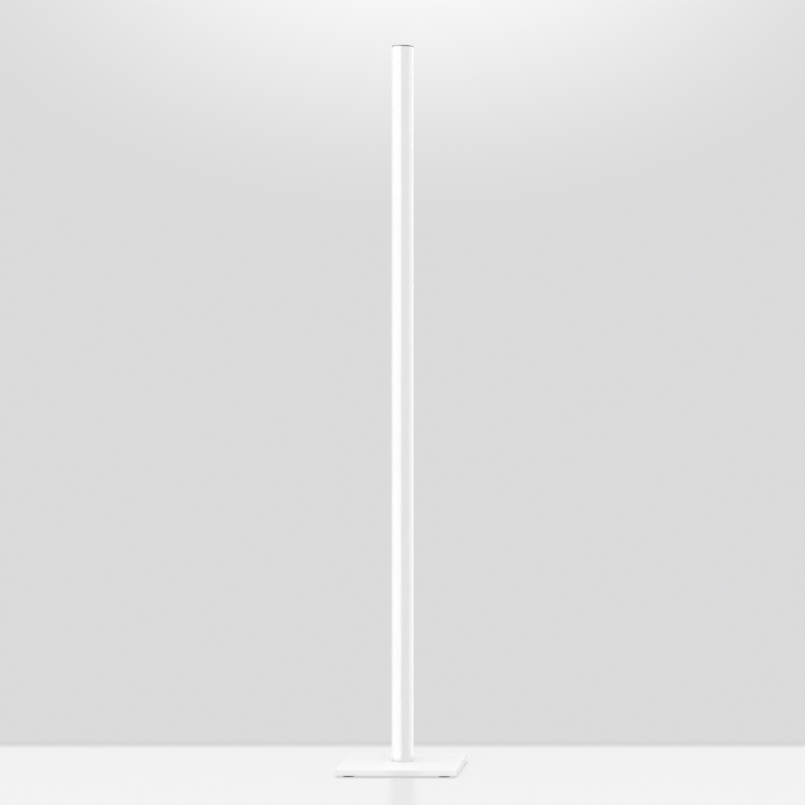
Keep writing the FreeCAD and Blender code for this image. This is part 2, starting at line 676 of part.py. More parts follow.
def button_body():
    """Threaded barrel with a flange, and a stepped well that keeps the cap in."""
    bore_clear_r = button_cap_r + RUNNING_CLEARANCE
    well_r = button_shoulder_r + RUNNING_CLEARANCE
    edge = min(BUTTON_FLANGE_CHAMFER, BUTTON_FLANGE * FILLET_SHARE_OF_WALL)
    return at_button(turned([
        (0, button_barrel_end), (button_barrel_r, button_barrel_end), (button_barrel_r, BUTTON_SEAL),
        (button_flange_r, BUTTON_SEAL), (button_flange_r, button_face - edge),
        (button_flange_r - edge, button_face), (bore_clear_r, button_face), (bore_clear_r, button_lip_bottom),
        (well_r, button_lip_bottom), (well_r, button_well_bottom), (0, button_well_bottom),
    ]))


def button_cap():
    """Shouldered cap with a slightly crowned face."""
    rim = button_face + BUTTON_PROUD - BUTTON_CAP_CROWN
    top = rim + BUTTON_CAP_CROWN
    crown_r = (button_cap_r ** 2 + BUTTON_CAP_CROWN ** 2) / (2 * BUTTON_CAP_CROWN)
    half_angle = math.asin(button_cap_r / crown_r) / 2
    middle = point(crown_r * math.sin(half_angle), 0, top - crown_r * (1 - math.cos(half_angle)))
    crown = Part.Arc(point(button_cap_r, 0, rim), middle, point(0, 0, top)).toShape()
    sides = Part.makePolygon([
        point(0, 0, top), point(0, 0, button_shoulder_bottom),
        point(button_shoulder_r, 0, button_shoulder_bottom), point(button_shoulder_r, 0, button_shoulder_top),
        point(button_cap_r, 0, button_shoulder_top), point(button_cap_r, 0, rim),
    ])
    outline = Part.Wire([crown] + sides.Edges)
    return at_button(Part.Face(outline).revolve(point(0, 0, 0), UP, 360))


def button_seal():
    outer = cylinder(button_flange_r - BUTTON_SEAL_INSET, 0, BUTTON_SEAL)
    return at_button(outer.cut(cylinder(button_barrel_r + LEAD_HOLE_CLEARANCE, 0, BUTTON_SEAL)))


def button_nut():
    """Nut inside the column, with its corners just clear of the round bore."""
    nut = hexagon(BUTTON_NUT_ACROSS_FLATS, 0, BUTTON_NUT)
    nut = nut.cut(cylinder(button_barrel_r + THREAD_CLEARANCE, 0, BUTTON_NUT))
    return aimed(nut, point(0, button_nut_face_y, BUTTON_HEIGHT), FRONT)


# Head

def head_housing():
    """Cast cup that sits on the column's ports, with an O-ring groove and a star of cooling fins below."""
    groove_depth = O_RING_SECTION + 2 * THREAD_CLEARANCE - HEAD_CLEARANCE
    groove_width = O_RING_SECTION + 2 * THREAD_CLEARANCE
    groove_low = (cup_bottom + cup_floor_top - groove_width) / 2
    cup = turned([
        (0, cup_bottom), (cup_r, cup_bottom), (cup_r, groove_low), (cup_r - groove_depth, groove_low),
        (cup_r - groove_depth, groove_low + groove_width), (cup_r, groove_low + groove_width),
        (cup_r, column_top), (cup_inner_r, column_top), (cup_inner_r, cup_floor_top), (0, cup_floor_top),
    ])
    fin_bottom = cup_bottom - FIN_LENGTH
    star = [cylinder(FIN_CORE_DIAMETER / 2, fin_bottom, cup_bottom)]
    for step in range(FIN_COUNT):
        fin = block(0, core_r, -FIN_THICKNESS / 2, FIN_THICKNESS / 2, fin_bottom, cup_bottom)
        star.append(fin.rotate(point(0, 0, 0), UP, 360 * (step + 0.5) / FIN_COUNT))
    cuts = [cylinder(grommet_r, cup_bottom, cup_floor_top, 0, led_lead_y)]
    for x, y in around(PORT_COUNT, port_circle_r):
        cuts.append(cylinder(screw_hole_r, cup_bottom, cup_floor_top, x, y))
    hole_low = cup_floor_top - HOLDER_SCREW_GRIP - DRILL_ALLOWANCE
    for x in (-holder_screw_circle_r, holder_screw_circle_r):
        cuts.append(cylinder(HOLDER_SCREW_DIAMETER / 2 + THREAD_CLEARANCE, hole_low, cup_floor_top, x))
    return cup.fuse(star).removeSplitter().cut(cuts)


def head_screws():
    one = screw(screw_r, CUP_FLOOR + SCREW_GRIP, screw_head_r, SCREW_HEAD_HEIGHT)
    return [aimed(one, point(x, y, cup_floor_top), DOWN) for x, y in around(PORT_COUNT, port_circle_r)]


def head_o_ring():
    section_r = O_RING_SECTION / 2
    return Part.makeTorus(bore_r - THREAD_CLEARANCE - section_r, section_r,
                          point(0, 0, (cup_bottom + cup_floor_top) / 2), UP)


def lead_grommet():
    """Rubber bush with a flange each side of the head's floor."""
    bore = led_lead_r + LEAD_HOLE_CLEARANCE
    sleeve_r = grommet_r - THREAD_CLEARANCE
    low = cup_bottom - GROMMET_FLANGE
    high = cup_floor_top + GROMMET_FLANGE
    bush = turned([
        (bore, low), (grommet_flange_r, low), (grommet_flange_r, cup_bottom), (sleeve_r, cup_bottom),
        (sleeve_r, cup_floor_top), (grommet_flange_r, cup_floor_top), (grommet_flange_r, high), (bore, high),
    ])
    return aimed(bush, point(0, led_lead_y, 0), UP)


def thermal_pad():
    return cylinder(board_r, cup_floor_top, cup_floor_top + THERMAL_PAD)


def led_board():
    return cylinder(board_r, cup_floor_top + THERMAL_PAD, board_top)


def led_emitter():
    return cylinder(emitter_r, board_top, board_top + LED_EMITTER)


def led_holder():
    """Moulded ring that clamps the LED board, with a flared window and a socket lug for the lead."""
    ring = cylinder(core_r, cup_floor_top, holder_top)
    lug_x = led_lead_r + LUG_MARGIN
    lug_y = led_lead_y - led_lead_r - LUG_MARGIN
    lug = block(-lug_x, lug_x, lug_y, 0, cup_floor_top + LUG_RISE, holder_top)
    board_space_r = board_r + HOLDER_FIT
    board_space_top = board_top + HOLDER_FIT
    window = turned([
        (0, cup_floor_top), (board_space_r, cup_floor_top), (board_space_r, board_space_top),
        (emitter_r + HOLDER_FIT, board_space_top), (throat_r, holder_top), (0, holder_top),
    ])
    cuts = [window]
    for x in (-holder_screw_circle_r, holder_screw_circle_r):
        cuts.append(cylinder(HOLDER_SCREW_DIAMETER / 2 + HOLDER_FIT, cup_floor_top, holder_top, x))
        cuts.append(cylinder(HOLDER_SCREW_HEAD_DIAMETER / 2 + HOLDER_FIT, holder_screw_seat, holder_top, x))
    return ring.fuse(lug).removeSplitter().cut(cuts)


def holder_screws():
    reach = holder_screw_seat - cup_floor_top + HOLDER_SCREW_GRIP
    one = screw(HOLDER_SCREW_DIAMETER / 2, reach, HOLDER_SCREW_HEAD_DIAMETER / 2, HOLDER_SCREW_HEAD_HEIGHT)
    places = (-holder_screw_circle_r, holder_screw_circle_r)
    return [aimed(one, point(x, 0, holder_screw_seat), DOWN) for x in places]


def reflector():
    """Spun bowl whose inside follows a parabola, with a flange under the glass."""
    middle = (holder_top + flange_top) / 2
    middle_r = math.sqrt((throat_r ** 2 + window_r ** 2) / 2)
    flange_bottom = flange_top - REFLECTOR_FLANGE
    inside = Part.Arc(point(throat_r, 0, holder_top), point(middle_r, 0, middle),
                      point(window_r, 0, flange_top)).toShape()
    outside = Part.Arc(point(window_r + REFLECTOR_WALL, 0, flange_bottom),
                       point(middle_r + REFLECTOR_WALL, 0, middle - REFLECTOR_FLANGE / 2),
                       point(throat_r + REFLECTOR_WALL, 0, holder_top)).toShape()
    flange = Part.makePolygon([
        point(window_r, 0, flange_top), point(lens_gasket_r, 0, flange_top),
        point(lens_gasket_r, 0, flange_bottom), point(window_r + REFLECTOR_WALL, 0, flange_bottom),
    ])
    foot_edge = Part.LineSegment(point(throat_r + REFLECTOR_WALL, 0, holder_top),
                                 point(throat_r, 0, holder_top)).toShape()
    outline = Part.Wire([inside] + flange.Edges + [outside, foot_edge])
    return Part.Face(outline).revolve(point(0, 0, 0), UP, 360)


def lens_gasket():
    """Silicone channel that wraps the edge of the glass."""
    wall_r = lens_gasket_r - LENS_GASKET_WALL
    grip_r = glass_r - LENS_GASKET_GRIP
    return turned([
        (grip_r, flange_top), (lens_gasket_r, flange_top), (lens_gasket_r, lip_bottom), (grip_r, lip_bottom),
        (grip_r, glass_top), (wall_r, glass_top), (wall_r, glass_bottom), (grip_r, glass_bottom),
    ])


def glass_lens():
    edge_r = glass_r - GLASS_EDGE_CHAMFER
    return turned([
        (0, glass_bottom), (edge_r, glass_bottom), (glass_r, glass_bottom + GLASS_EDGE_CHAMFER),
        (glass_r, glass_top - GLASS_EDGE_CHAMFER), (edge_r, glass_top), (0, glass_top),
    ])


def top_ring():
    """Retaining ring: flush with the column outside, skirt screwed into the head, bevelled light window."""
    mouth_r = window_r + RING_BEVEL
    skirt_bottom = column_top - SKIRT_LENGTH
    ring = turned([
        (mouth_r, LAMP_HEIGHT), (column_r - RING_CHAMFER, LAMP_HEIGHT),
        (column_r, LAMP_HEIGHT - RING_CHAMFER), (column_r, column_top), (skirt_r, column_top),
        (skirt_r, skirt_bottom), (skirt_inner_r, skirt_bottom), (skirt_inner_r, lip_bottom),
        (window_r, lip_bottom),
    ])
    hole_r = SPANNER_HOLE_DIAMETER / 2
    hole_x = (mouth_r + column_r) / 2
    hole_bottom = LAMP_HEIGHT - SPANNER_HOLE_DEPTH
    return ring.cut([cylinder(hole_r, hole_bottom, LAMP_HEIGHT, x) for x in (-hole_x, hole_x)])


# Write every node

os.makedirs("parts", exist_ok=True)

for corner_name, (foot_x, foot_y) in foot_places().items():
    save(f"foot_{corner_name}", aimed(foot(), point(foot_x, foot_y, 0), UP))

PIECES = [
    base_plate, base_cover, column_gasket, gland_body, gland_seal, gland_dome, gland_locknut, column_tube,
    gear_tray, terminal_block, driver_case, driver_cap_lower, driver_cap_upper, led_lead, button_lead,
    button_body, button_cap, button_seal, button_nut, head_housing, head_o_ring, lead_grommet, thermal_pad,
    led_board, led_emitter, led_holder, reflector, lens_gasket, glass_lens, top_ring,
]
for piece in PIECES:
    save(piece.__name__, piece())

GROUPS = [
    foot_screws, base_cover_screws, column_screws, terminal_screws, driver_screws, supply_leads, head_screws,
    holder_screws,
]
for group in GROUPS:
    save(group.__name__, *group())
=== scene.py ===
# %% [markdown]
# # An outdoor floor lamp, dressed in Blender
# The lamp is a white round column on a square white plate. An LED head in the column's top lights upwards
# through a glass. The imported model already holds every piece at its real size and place, so this lesson
# gives the pieces their looks: smoother skins, rounded edges and finishes. All lengths are metres, the floor
# is z = 0 and the column's axis is the z axis.

# %% Load the frame
import math

import bmesh
import bpy
from mathutils import Matrix, Vector


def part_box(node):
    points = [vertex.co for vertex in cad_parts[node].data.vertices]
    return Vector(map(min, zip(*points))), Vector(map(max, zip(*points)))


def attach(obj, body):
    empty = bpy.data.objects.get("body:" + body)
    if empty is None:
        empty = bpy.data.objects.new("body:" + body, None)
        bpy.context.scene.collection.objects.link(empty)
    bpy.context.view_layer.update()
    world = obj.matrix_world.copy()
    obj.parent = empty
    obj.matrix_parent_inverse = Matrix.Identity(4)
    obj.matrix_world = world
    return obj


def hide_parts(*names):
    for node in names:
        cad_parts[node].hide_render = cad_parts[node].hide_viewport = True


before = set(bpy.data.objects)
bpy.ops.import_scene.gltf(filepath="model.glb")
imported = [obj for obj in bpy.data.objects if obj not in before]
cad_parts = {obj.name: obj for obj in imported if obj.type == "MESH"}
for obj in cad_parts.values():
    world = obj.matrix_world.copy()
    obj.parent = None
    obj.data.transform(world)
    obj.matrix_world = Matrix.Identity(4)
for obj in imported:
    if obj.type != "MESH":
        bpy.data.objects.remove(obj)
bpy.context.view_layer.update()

scene = bpy.context.scene
MM = 0.001


# %% [markdown]
# ## Camera
# A tall thin object is photographed from far away with a long lens, so that its sides stay parallel. The
# camera is level, at half the lamp's height, and stands a little to the right of the plate's front. The
# plate's front and back edges are level in the photograph, while its sides lean to the right. So the camera
# looks almost straight at the wall, and the lens is shifted sideways to bring the lamp to the middle.

# %% Camera
VIEW_TURN = math.radians(7.2)
AIM_TURN = math.radians(1.2)
CAMERA_DISTANCE = 6.113
CAMERA_HEIGHT = 0.8878
CAMERA_LENS = 112.32
PICTURE_SHIFT = 0.0002


def round_the_lamp(turn, distance, height):
    """Place at an angle round the column's axis: 0 is the plate's front and angles grow to the right."""
    return Vector((distance * math.sin(turn), -distance * math.cos(turn), height))


def facing_the_lamp(turn):
    """Level aim of a camera or a lamp that would stand at that angle and look at the column's axis."""
    return (math.pi / 2, 0, turn)


def add_object(name, data):
    """New object in the scene."""
    thing = bpy.data.objects.new(name, data)
    scene.collection.objects.link(thing)
    return thing


camera = add_object("photo_camera", bpy.data.cameras.new("photo_camera"))
camera.data.lens = CAMERA_LENS
camera.location = round_the_lamp(VIEW_TURN, CAMERA_DISTANCE, CAMERA_HEIGHT)
camera.rotation_euler = facing_the_lamp(AIM_TURN)
lamp_off_centre = math.tan(VIEW_TURN - AIM_TURN) * CAMERA_LENS / camera.data.sensor_width
camera.data.shift_x = -lamp_off_centre - PICTURE_SHIFT
scene.camera = camera
scene.view_settings.view_transform = "Standard"
print("camera at", [round(v, 3) for v in camera.location], "with a shift of", round(camera.data.shift_x, 3))


# %% [markdown]
# ## Building with nodes
# Every material and every Geometry Nodes tree below is made of nodes. Written out line by line, their links
# would hide what a finish is about. So one function adds a node and fills its inputs: a socket is linked, and
# a plain value is set. Short ones for sums, for mixed colours and for an object's coordinates build on it.

# %% Node helpers
# The colour sockets of a Mix node share their labels with its other kinds, so they go by number.
MIX_FIRST = 6
MIX_SECOND = 7
MIX_RESULT = 2


def fill(tree, node, inputs):
    """Link each input, which goes by label or by number, to a socket, or set it to a value."""
    for label, value in inputs.items():
        if isinstance(value, bpy.types.NodeSocket):
            tree.links.new(value, node.inputs[label])
        else:
            node.inputs[label].default_value = value
    return node


def add_node(tree, kind, inputs=None, **settings):
    """New node with its settings and its inputs."""
    node = tree.nodes.new(kind)
    for label, value in settings.items():
        setattr(node, label, value)
    return fill(tree, node, inputs or {})


def maths(tree, operation, first, second):
    """Result of one operation on two values."""
    return add_node(tree, "ShaderNodeMath", {0: first, 1: second}, operation=operation).outputs[0]


def colour_mix(tree, share, first, second):
    """Mix of two colours by a share."""
    inputs = {0: share, MIX_FIRST: first, MIX_SECOND: second}
    return add_node(tree, "ShaderNodeMix", inputs, data_type="RGBA").outputs[MIX_RESULT]


def object_place(tree):
    """Object coordinates."""
    return add_node(tree, "ShaderNodeTexCoord").outputs["Object"]


def new_material(name):
    """Material and its node tree, which starts with a Principled shader."""
    material = bpy.data.materials.new(name)
    material.use_nodes = True
    return material, material.node_tree


print("node helpers:", [helper.__name__ for helper in (add_node, maths, colour_mix, object_place)])


# %% [markdown]
# ## Floor and backdrop
# The lamp stands on a pale floor in front of a pale wall, and the soft glow of its own light is painted high
# on that wall. Both are single sheets, and each is see-through from behind, so that the lamp can also be
# looked at from the back and from below. Where the wall is seen it shows a set colour, while the floor is
# partly lit and so keeps the lamp's shadow. Where they meet, both carry a little painted corner shade, and
# the wall a thin painted light at its very foot. Light that bounces off them finds plain pale paint.

# %% Stage sheets
WALL_BEHIND = 0.405
STAGE_REACH = 4.0


def stage_sheet(name, first, last, material):
    """Flat sheet between two level edges, given as (y, z). It turns with the camera's aim."""
    left, right = -STAGE_REACH, STAGE_REACH
    mesh = bpy.data.meshes.new(name)
    mesh.from_pydata([(left, *first), (right, *first), (right, *last), (left, *last)], [], [(0, 1, 2, 3)])
    mesh.materials.append(material)
    sheet = add_object(name, mesh)
    sheet.rotation_euler.z = AIM_TURN
    return sheet


def seen_directly(tree):
    """1 for camera rays, reflections and rays through glass, and 0 for light that bounces."""
    path = add_node(tree, "ShaderNodeLightPath").outputs
    seen = maths(tree, "MAXIMUM", path["Is Camera Ray"], path["Is Glossy Ray"])
    return maths(tree, "MAXIMUM", seen, path["Is Transmission Ray"])


def sheet_surface(tree, shown, lit_colour, shown_share):
    """Set colour by its share over lit paint, on the sheet's front alone."""
    tree.nodes.remove(tree.nodes["Principled BSDF"])
    lit = add_node(tree, "ShaderNodeBsdfDiffuse", {"Color": lit_colour})
    emission = add_node(tree, "ShaderNodeEmission", {"Color": shown})
    front = add_node(tree, "ShaderNodeMixShader", {0: shown_share, 1: lit.outputs[0], 2: emission.outputs[0]})
    backfacing = add_node(tree, "ShaderNodeNewGeometry").outputs["Backfacing"]
    clear = add_node(tree, "ShaderNodeBsdfTransparent")
    sheet = add_node(tree, "ShaderNodeMixShader", {0: backfacing, 1: front.outputs[0], 2: clear.outputs[0]})
    fill(tree, tree.nodes["Material Output"], {"Surface": sheet.outputs[0]})


print("stage reaches", STAGE_REACH, "m to each side, the wall is", WALL_BEHIND, "m behind the column")


# %% Wall and floor colours
WALL_LIT = (0.92, 0.92, 0.92, 1)
WALL_GREY = (0.705, 0.705, 0.715, 1)
WALL_GLOW = (1, 1, 1, 1)
GLOW_HEIGHT = 2.24
GLOW_HALF_WIDTH = 1.48
GLOW_HALF_HEIGHT = 0.93
# Painted corner shade low on the wall, fading out at its height above the floor.
WALL_FOOT_PAINTED_SHADE = (0.65, 0.65, 0.66, 1)
# Painted light in a thin band at the wall's very foot.
WALL_FOOT_PAINTED_LIGHT = (0.757, 0.757, 0.767, 1)
PAINTED_SHADE_UP_WALL = 0.020
PAINTED_LIGHT_UP_WALL = 0.008
FLOOR_SHOWN = (0.849, 0.849, 0.864, 1)
# Painted corner shade on the floor along the wall's foot.
FLOOR_PAINTED_SHADE = (0.697, 0.697, 0.712, 1)
FLOOR_LIT = (0.68, 0.68, 0.68, 1)
PAINTED_SHADE_ON_FLOOR = 0.045
FLOOR_LIT_SHARE = 0.3


def painted_corner_shading(tree, place, axis, corner, reach, grey, own_colour):
    """Painted corner shading where wall and floor meet: a painted colour there that fades into the sheet's
    own colour.
    """
    distance = add_node(tree, "ShaderNodeSeparateXYZ", {0: place}).outputs[axis]
    fade = add_node(tree, "ShaderNodeMapRange", {
        "Value": distance, "From Min": corner, "From Max": corner + reach}, interpolation_type="SMOOTHSTEP")
    return colour_mix(tree, fade.outputs[0], grey, own_colour)


def wall_material():
    """Grey wall with the lamp's glow painted on, a thin painted light at its very foot and painted corner
    shade just above.
    """
    material, tree = new_material("backdrop wall")
    place = object_place(tree)
    centre = add_node(tree, "ShaderNodeMapping", {
        "Vector": place, "Location": (0, WALL_BEHIND, GLOW_HEIGHT),
        "Scale": (GLOW_HALF_WIDTH, 1, GLOW_HALF_HEIGHT)}, vector_type="TEXTURE")
    glow = add_node(tree, "ShaderNodeTexGradient", {"Vector": centre.outputs[0]}, gradient_type="SPHERICAL")
    fade = add_node(tree, "ShaderNodeMapRange", {"Value": glow.outputs[1]}, interpolation_type="SMOOTHSTEP")
    shown = colour_mix(tree, fade.outputs[0], WALL_GREY, WALL_GLOW)
    # Painted corner shade up the wall's foot.
    shown = painted_corner_shading(tree, place, "Z", 0, PAINTED_SHADE_UP_WALL, WALL_FOOT_PAINTED_SHADE, shown)
    # Painted light at the wall's very foot.
    shown = painted_corner_shading(tree, place, "Z", 0, PAINTED_LIGHT_UP_WALL, WALL_FOOT_PAINTED_LIGHT, shown)
    sheet_surface(tree, shown, WALL_LIT, seen_directly(tree))
    return material


def floor_material():
    """Pale floor with painted corner shade along the wall. A share of it is lit, and so takes shadows."""
    material, tree = new_material("pale floor")
    # Painted corner shade along the wall.
    shown = painted_corner_shading(tree, object_place(tree), "Y", WALL_BEHIND, -PAINTED_SHADE_ON_FLOOR, FLOOR_PAINTED_SHADE, FLOOR_SHOWN)
    shown_share = maths(tree, "MULTIPLY", seen_directly(tree), 1 - FLOOR_LIT_SHARE)
    sheet_surface(tree, shown, FLOOR_LIT, shown_share)
    return material


floor = stage_sheet("floor", (-STAGE_REACH, 0), (STAGE_REACH, 0), floor_material())
wall = stage_sheet("wall", (WALL_BEHIND, 0), (WALL_BEHIND, STAGE_REACH), wall_material())
print("stage sheets:", floor.name, wall.name)


# %% [markdown]
# ## Light
# The photograph shows a bright left third with a quick end, a calm middle and a lighter right edge, the same
# from the plate to the top. A quick end on a round column can only be a reflection. So tall strips of white
# card stand close round it, as a photographer's do. The two dimmest, behind it, keep its outer edges white
# against the grey wall. They show in reflections only, and light linking keeps them off the other pieces.
# Even light comes from the world and from a wide softbox overhead. The lit wall sends light forwards too, so
# the column's faint shadow on the floor comes towards the camera. A sun stands for that light, and everything
# but the wall can block it. None of the lights shows to the camera.

# %% Softbox, cards and world
FILL = 0.84
OVERHEAD_SIDE = 5.0
OVERHEAD_HEIGHT = 6.0
OVERHEAD_FORWARD = 0.6
OVERHEAD_BRIGHTNESS = 1.55
CARD_BOTTOM = 0.02
CARD_TOP = 2.3
BOUNCE_STRENGTH = 1.27
BOUNCE_TILT = math.radians(20)
BOUNCE_SPREAD = math.radians(1.2)
column_skin = bpy.data.collections.new("column skin and ring")
shadow_floor = bpy.data.collections.new("floor that takes the shadow")
shadow_floor.objects.link(floor)
all_but_wall = bpy.data.collections.new("all but the wall")
all_but_wall.objects.link(wall)
all_but_wall.collection_objects[0].light_linking.link_state = "EXCLUDE"


def area_light(name, width, height, brightness):
    """Soft rectangle, hidden from the camera, that is as bright as a surface of that value."""
    light = bpy.data.lights.new(name, "AREA")
    light.shape = "RECTANGLE"
    light.size = width
    light.size_y = height
    light.energy = brightness * math.pi * width * height
    lamp = add_object(name, light)
    lamp.visible_camera = False
    return lamp


def card(name, turn, distance, width, brightness):
    """Tall card, turned by degrees from the camera and aimed level at the column, for reflections only."""
    lamp = area_light(name, width, CARD_TOP - CARD_BOTTOM, brightness)
    angle = VIEW_TURN + math.radians(turn)
    lamp.location = round_the_lamp(angle, distance, (CARD_TOP + CARD_BOTTOM) / 2)
    lamp.rotation_euler = facing_the_lamp(angle)
    lamp.visible_diffuse = False
    lamp.light_linking.receiver_collection = column_skin


card("left_card", turn=-48, distance=0.067, width=0.090, brightness=4.6)
card("left_back_card", turn=-93.5, distance=0.075, width=0.033, brightness=3.0)
card("right_card", turn=95.5, distance=0.085, width=0.111, brightness=1.9)
card("left_rim_card", turn=-130, distance=0.084, width=0.063, brightness=0.66)
card("right_rim_card", turn=141, distance=0.083, width=0.053, brightness=0.28)
overhead = area_light("overhead_softbox", OVERHEAD_SIDE, OVERHEAD_SIDE, OVERHEAD_BRIGHTNESS)
overhead.location = round_the_lamp(VIEW_TURN, OVERHEAD_FORWARD, OVERHEAD_HEIGHT)
overhead.rotation_euler = (0, 0, VIEW_TURN)

bounce = add_object("wall_bounce", bpy.data.lights.new("wall_bounce", "SUN"))
bounce.data.energy = BOUNCE_STRENGTH
bounce.data.angle = BOUNCE_SPREAD
bounce.rotation_euler = (-BOUNCE_TILT, 0, VIEW_TURN)
bounce.light_linking.receiver_collection = shadow_floor
bounce.light_linking.blocker_collection = all_but_wall

scene.world = bpy.data.worlds.new("studio")
scene.world.use_nodes = True
background = scene.world.node_tree.nodes["Background"]
background.inputs["Color"].default_value = (FILL, FILL, FILL, 1)


# %% [markdown]
# ## Effects that several finishes share
# Paint, rubber and moulded plastic all have a fine grain and a slow change of tone. Turned metal has rings
# round its axis. Level surfaces outdoors gather a little dust. Each effect could be drawn anew in every
# material. Here it is a node group that is built once, with its sizes as inputs, and each material places it
# with its own values.

# %% Node groups
DUST_LEVEL = 0.6
GRAIN_DETAIL = 3
DUST_DETAIL = 4
RING_DETAIL = 2


def shader_group(name, inputs, outputs):
    """Empty shader group, the sockets that give its inputs, and the node that takes its masks."""
    group = bpy.data.node_groups.new(name, "ShaderNodeTree")
    for label, kind in inputs.items():
        group.interface.new_socket(label, in_out="INPUT", socket_type="NodeSocket" + kind)
    for label in outputs:
        group.interface.new_socket(label, in_out="OUTPUT", socket_type="NodeSocketFloat")
    return group, add_node(group, "NodeGroupInput").outputs, add_node(group, "NodeGroupOutput")


def noise_mask(tree, size, detail):
    """Noise on the object, with grains of a size in metres."""
    scale = maths(tree, "DIVIDE", 1, size)
    inputs = {"Vector": object_place(tree), "Scale": scale, "Detail": detail}
    return add_node(tree, "ShaderNodeTexNoise", inputs).outputs[0]


def build_fine_grain():
    """Small grain and slow mottle."""
    group, given, result = shader_group(
        "Fine grain", {"Grain Size": "Float", "Mottle Size": "Float"}, ["Grain", "Mottle"])
    for mask in ("Grain", "Mottle"):
        fill(group, result, {mask: noise_mask(group, given[mask + " Size"], GRAIN_DETAIL)})
    return group


def build_turned_marks():
    """Rings round the z axis of the given vector, as a lathe tool leaves them."""
    group, given, result = shader_group("Turned marks", {"Vector": "Vector", "Spacing": "Float"}, ["Marks"])
    flat = add_node(group, "ShaderNodeVectorMath", {0: given["Vector"], 1: (1, 1, 0)}, operation="MULTIPLY")
    radius = add_node(group, "ShaderNodeVectorMath", {0: flat.outputs["Vector"]}, operation="LENGTH")
    count = maths(group, "DIVIDE", radius.outputs["Value"], given["Spacing"])
    rings = add_node(group, "ShaderNodeTexNoise", {
        "W": count, "Scale": 1, "Detail": RING_DETAIL}, noise_dimensions="1D")
    fill(group, result, {"Marks": rings.outputs[0]})
    return group


def build_settled_dust():
    """Soft patches on surfaces that face up."""
    group, given, result = shader_group("Settled dust", {"Patch Size": "Float", "Amount": "Float"}, ["Dust"])
    patches = noise_mask(group, given["Patch Size"], DUST_DETAIL)
    normal = add_node(group, "ShaderNodeNewGeometry").outputs["Normal"]
    upwards = add_node(group, "ShaderNodeSeparateXYZ", {0: normal}).outputs["Z"]
    level = add_node(group, "ShaderNodeMapRange", {"Value": upwards, "From Min": DUST_LEVEL}).outputs[0]
    dust = maths(group, "MULTIPLY", maths(group, "MULTIPLY", patches, level), given["Amount"])
    fill(group, result, {"Dust": dust})
    return group


fine_grain = build_fine_grain()
turned_marks = build_turned_marks()
settled_dust = build_settled_dust()
print("groups:", fine_grain.name, turned_marks.name, settled_dust.name)


# %% [markdown]
# ## Finishes
# A finish that looks real is never one flat colour. The paint is a powder coat: it melts into a smooth film
# with a faint orange peel, so the grain goes to the bump and a little of it to the roughness, and the slow
# mottle goes to the colour. The column's coat is glossy, so that it mirrors the cards, and the plate's is
# more matt, as a coat that is walked round has to be. Rubber, nylon and plastics use the same recipe with
# other sizes.

# %% Grained finishes
DUST_COLOUR = (0.62, 0.60, 0.57, 1)


def shades(tree, mask, colour, other):
    """Mix of two plain colours by a mask."""
    return colour_mix(tree, mask, (*colour, 1), (*other, 1))


def spread(tree, mask, low, high):
    """Mask stretched between two values."""
    return add_node(tree, "ShaderNodeMapRange", {"Value": mask, "To Min": low, "To Max": high}).outputs[0]


def relief(tree, mask, height):
    """Normal of a relief that a mask draws."""
    return add_node(tree, "ShaderNodeBump", {"Height": mask, "Distance": height}).outputs["Normal"]


def placed_group(tree, group, **inputs):
    """Masks of a shared effect, placed in a material with its own sizes."""
    labelled = {label.replace("_", " "): value for label, value in inputs.items()}
    return add_node(tree, "ShaderNodeGroup", labelled, node_tree=group).outputs


def dress(material, inputs):
    """Fill inputs of a material's Principled shader."""
    fill(material.node_tree, material.node_tree.nodes["Principled BSDF"], inputs)
    return material


def grained_finish(name, colour, other, roughness, grain, height, mottle=50 * MM, metallic=0.0):
    """Paint, rubber, plastic or cast metal: mottled colour, grained roughness and relief."""
    material, tree = new_material(name)
    masks = placed_group(tree, fine_grain, Grain_Size=grain, Mottle_Size=mottle)
    return dress(material, {
        "Base Color": shades(tree, masks["Mottle"], colour, other), "Metallic": metallic,
        "Roughness": spread(tree, masks["Grain"], *roughness),
        "Normal": relief(tree, masks["Grain"], height)})


def dusted(material, amount, patch):
    """Lay a little pale dust on what faces up, over a finish that is already built."""
    tree = material.node_tree
    clean = tree.nodes["Principled BSDF"].inputs["Base Color"].links[0].from_socket
    dust = placed_group(tree, settled_dust, Patch_Size=patch, Amount=amount)["Dust"]
    dress(material, {"Base Color": colour_mix(tree, dust, clean, DUST_COLOUR)})


plate_coat = grained_finish(
    "white powder coat", (0.95, 0.95, 0.95), (0.92, 0.92, 0.92), roughness=(0.45, 0.60),
    grain=1.4 * MM, height=0.012 * MM)
dress(plate_coat, {"Specular IOR Level": 0.3})
dusted(plate_coat, amount=0.05, patch=30 * MM)
column_coat = grained_finish(
    "white column coat", (0.83, 0.83, 0.83), (0.80, 0.80, 0.80), roughness=(0.12, 0.20),
    grain=1.4 * MM, height=0.012 * MM)
black_rubber = grained_finish(
    "black rubber", (0.022, 0.022, 0.023), (0.035, 0.034, 0.033), roughness=(0.55, 0.8),
    grain=0.5 * MM, height=0.04 * MM, mottle=20 * MM)
dusted(black_rubber, amount=0.25, patch=12 * MM)
black_nylon = grained_finish(
    "black nylon", (0.02, 0.02, 0.021), (0.03, 0.03, 0.03), roughness=(0.4, 0.58),
    grain=0.4 * MM, height=0.02 * MM, mottle=15 * MM)
grey_plastic = grained_finish(
    "grey terminal plastic", (0.42, 0.43, 0.43), (0.36, 0.37, 0.37), roughness=(0.38, 0.5),
    grain=0.5 * MM, height=0.015 * MM, mottle=10 * MM)
white_plastic = grained_finish(
    "white moulded plastic", (0.82, 0.82, 0.80), (0.76, 0.76, 0.74), roughness=(0.32, 0.45),
    grain=0.6 * MM, height=0.015 * MM, mottle=20 * MM)
